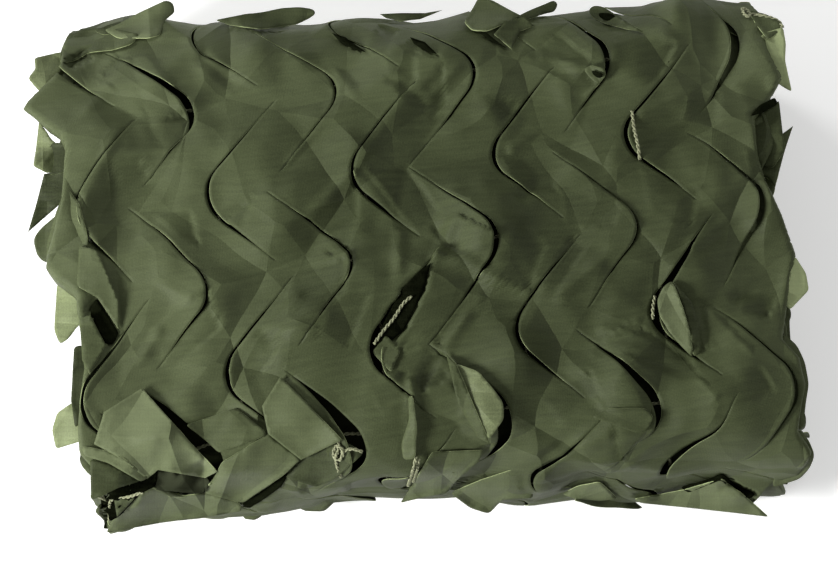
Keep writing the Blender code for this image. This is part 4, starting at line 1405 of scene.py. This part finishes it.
STRAND, KNOT_STRAND = 0.00045, 0.0006  # radii
STRAND_SIDES = 5
TWIST = 0.0052
STRAND_OFFSET = 0.95  # of a strand's radius, from the twine's own line
TWINE_STEP = 0.0008
UNEVEN, UNEVEN_SIZE = 0.0008, 0.03
TWINE_FROM, TWINE_TO = -1.25, 4.05  # periods, along the columns
CROSSED = 0.0004  # that the crosswise twines lie lower
KNOT_TURNS, KNOT_RADIUS, KNOT_RISE = 2.6, 0.0016, 0.0007
ASIDE = np.array([0.12, 0.34, 0.93])  # a direction that no twine has

# Loose strings of the net that show: points by pixel of the picture, and how far above the
# outer ply (millimetres).
STRINGS = (
    # (u, v, above), ...
    ((337, 436, -0.5), (339, 447, 0.6), (336, 460, 0.6), (341, 478, 0.8)),
    (
        (333, 452, 0.6), (337, 446, 1.2), (343, 451, 1), (340, 460, 0.8), (334, 457, 0.8),
        (334, 450, 1)),
    ((341, 452, 0.8), (352, 449, 0.6), (363, 452, 0.4)),
    ((416, 457, 2.4), (413, 470, 1.6), (408, 486, 1)),
    ((419, 459, 2), (417, 470, 1.4), (413, 482, 0.8)),
    ((374, 344, -1.4), (384, 330, -0.9), (394, 318, -0.9), (403, 304, -1.2), (412, 296, -1.4)),
    ((143, 492, 3.8), (128, 497, 4.2), (116, 497, 4), (110, 503, 3.6), (109, 520, 2.4)),
    ((98, 496, 3.6), (105, 499, 3.6), (112, 502, 3.6)),
    ((742, 8, 0.4), (748, 11, 1), (750, 16, 1), (745, 15, 1.4), (742, 9, 0.8)),
    ((750, 14, 0.6), (765, 16, 0.4), (778, 21, 0), (783, 28, -0.4)),
    ((775, 290, 1), (779, 297, 1), (776, 301, 0.8)),
    ((632, 111, -0.4), (634, 128, 0.5), (638, 146, 0.8), (640, 161, 0.4)),
    ((655, 296, -1), (653, 308, -0.8), (653, 320, -1)),
)


def across_line(line):
    """Two directions across a line at each of its points."""
    along = np.gradient(line, axis=0)
    along /= np.linalg.norm(along, axis=1)[:, None]
    side = np.cross(along, ASIDE)
    side /= np.linalg.norm(side, axis=1)[:, None]
    return side, np.cross(side, along)


def strand_mesh(line, radius):
    """A tube of few sides along points: its own points and faces."""
    side, up = across_line(line)
    turn = np.arange(STRAND_SIDES)[:, None] * math.tau / STRAND_SIDES
    ring = np.cos(turn) * side[:, None] + np.sin(turn) * up[:, None]
    points = (line[:, None] + radius * ring).reshape(-1, 3)
    number = np.arange(len(points)).reshape(len(line), STRAND_SIDES)
    faces = grid_faces(np.hstack([number, number[:, :1]])).tolist()
    return points, faces + [number[0].tolist(), number[-1, ::-1].tolist()]


def twisted(line):
    """Two strands laid round a line."""
    run = np.concatenate([[0], np.cumsum(np.linalg.norm(np.diff(line, axis=0), axis=1))])
    even = np.arange(0, run[-1], TWINE_STEP)
    line = np.column_stack([np.interp(even, run, line[:, k]) for k in range(3)])
    side, up = across_line(line)
    turn = math.tau * even[:, None] / TWIST
    offset = STRAND * STRAND_OFFSET * (np.cos(turn) * side + np.sin(turn) * up)
    return [strand_mesh(line + offset, STRAND), strand_mesh(line - offset, STRAND)]


def smooth_line(points, steps):
    """A soft curve through points."""
    at = np.linspace(0, len(points) - 1, steps)
    i = np.clip(at.astype(int), 0, len(points) - 2)
    t = (at - i)[:, None]
    padded = np.vstack([2 * points[0] - points[1], points, 2 * points[-1] - points[-2]])
    a, b, c, d = (padded[i + k] for k in range(4))
    bend, twist = 2 * a - 5 * b + 4 * c - d, 3 * b - a - 3 * c + d
    return 0.5 * (2 * b + (c - a) * t + bend * t**2 + twist * t**3)


def make_net(ground):
    parts = []
    for string in STRINGS:
        line = np.array([ground.point(u, v, above * 1e-3) for u, v, above in string])
        parts += twisted(smooth_line(line, 40))
    for column in TWINE_COLUMNS:
        q = np.arange(TWINE_FROM, TWINE_TO, 0.02) * PERIOD
        p = PITCH * column + TWINE_SHIFT + ripple(q, UNEVEN, UNEVEN_SIZE, column)
        parts += twisted(on_pattern(p, q, NET_OUTWARD))
    for row in TWINE_ROWS:
        p = np.arange(TWINE_LEFT, TWINE_RIGHT, 0.002)
        q = PERIOD * row + CROSS_SHIFT + ripple(p, UNEVEN, UNEVEN_SIZE, row + 20)
        parts += twisted(on_pattern(p, q, NET_OUTWARD - CROSSED))
    turn = np.linspace(0, KNOT_TURNS * math.tau, 40)
    for column in TWINE_COLUMNS:
        for row in TWINE_ROWS:
            p = PITCH * column + TWINE_SHIFT + KNOT_RADIUS * np.cos(turn)
            q = PERIOD * row + CROSS_SHIFT + KNOT_RADIUS * np.sin(turn)
            q += KNOT_RADIUS / 2 * np.cos(turn / KNOT_TURNS)
            knot = on_pattern(p, q, NET_OUTWARD + KNOT_RISE * np.sin(turn / 2))
            parts.append(strand_mesh(knot, KNOT_STRAND))
    piece = make_mesh("twisted_net", *joined(parts), materials=(TWINE_MATERIAL,))
    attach(piece, "root")
    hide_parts("backing_net")


# ---- stage -----------------------------------------------------------------------------

FLOOR_HALF = 6.0
LIGHTS = (
    # name, place, aim, size (metres), power (watts)
    ("key", (-1.15, -0.62, 0.66), (-0.03, 0, 0.05), 0.38, 35.0),
    ("back", (-0.9, 0.95, 0.60), (-0.08, 0, 0.05), 0.35, 9.0),
    ("fill", (1.9, 0.5, 1.3), (0.1, 0, 0), 0.9, 12.0),
)


def make_stage():
    corners = [[-1, -1, 0], [1, -1, 0], [1, 1, 0], [-1, 1, 0]]
    material, finish, _ = new_material("floor")
    finish({
        "Base Color": (0.92, 0.92, 0.91, 1), "Roughness": 0.9,
        "Emission Color": (1, 1, 1, 1), "Emission Strength": 0.30,
    })
    points = np.array(corners) * FLOOR_HALF
    make_mesh("floor", points, [[0, 1, 2, 3]], materials=(material,))
    world = bpy.data.worlds.new("studio")
    bpy.context.scene.world = world
    world.use_nodes = True
    background = world.node_tree.nodes["Background"]
    background.inputs["Color"].default_value = (1.0, 1.0, 1.0, 1)
    background.inputs["Strength"].default_value = 0.36
    for name, place, aim, size, power in LIGHTS:
        data = bpy.data.lights.new(name, "AREA")
        data.shape = "RECTANGLE"
        data.size = data.size_y = size
        data.energy = power
        add_object(name, data, place, Vector(aim) - Vector(place))
    bpy.context.scene.view_settings.view_transform = "Standard"


# ---- the pieces, the net and the stage ---------------------------------------------------

make_camera()
(cloth_left, cloth_right), shown = make_outer_cloth()
ground = Ground(shown)
plies = make_under_plies()
folds_left, folds_right = make_end_folds()
for folds in (folds_left, folds_right):
    press(folds, np.column_stack(in_view(shown)), shown, 3)
flaps_left, flaps_right = make_flaps(ground, (cloth_left, cloth_right, folds_left, folds_right))
lobes_left, lobes_right, lobes_front = make_lobes()
make_net(ground)
make_stage()

for piece, over in ((cloth_left, [*flaps_left, lobes_front]), (cloth_right, flaps_right)):
    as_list(over)
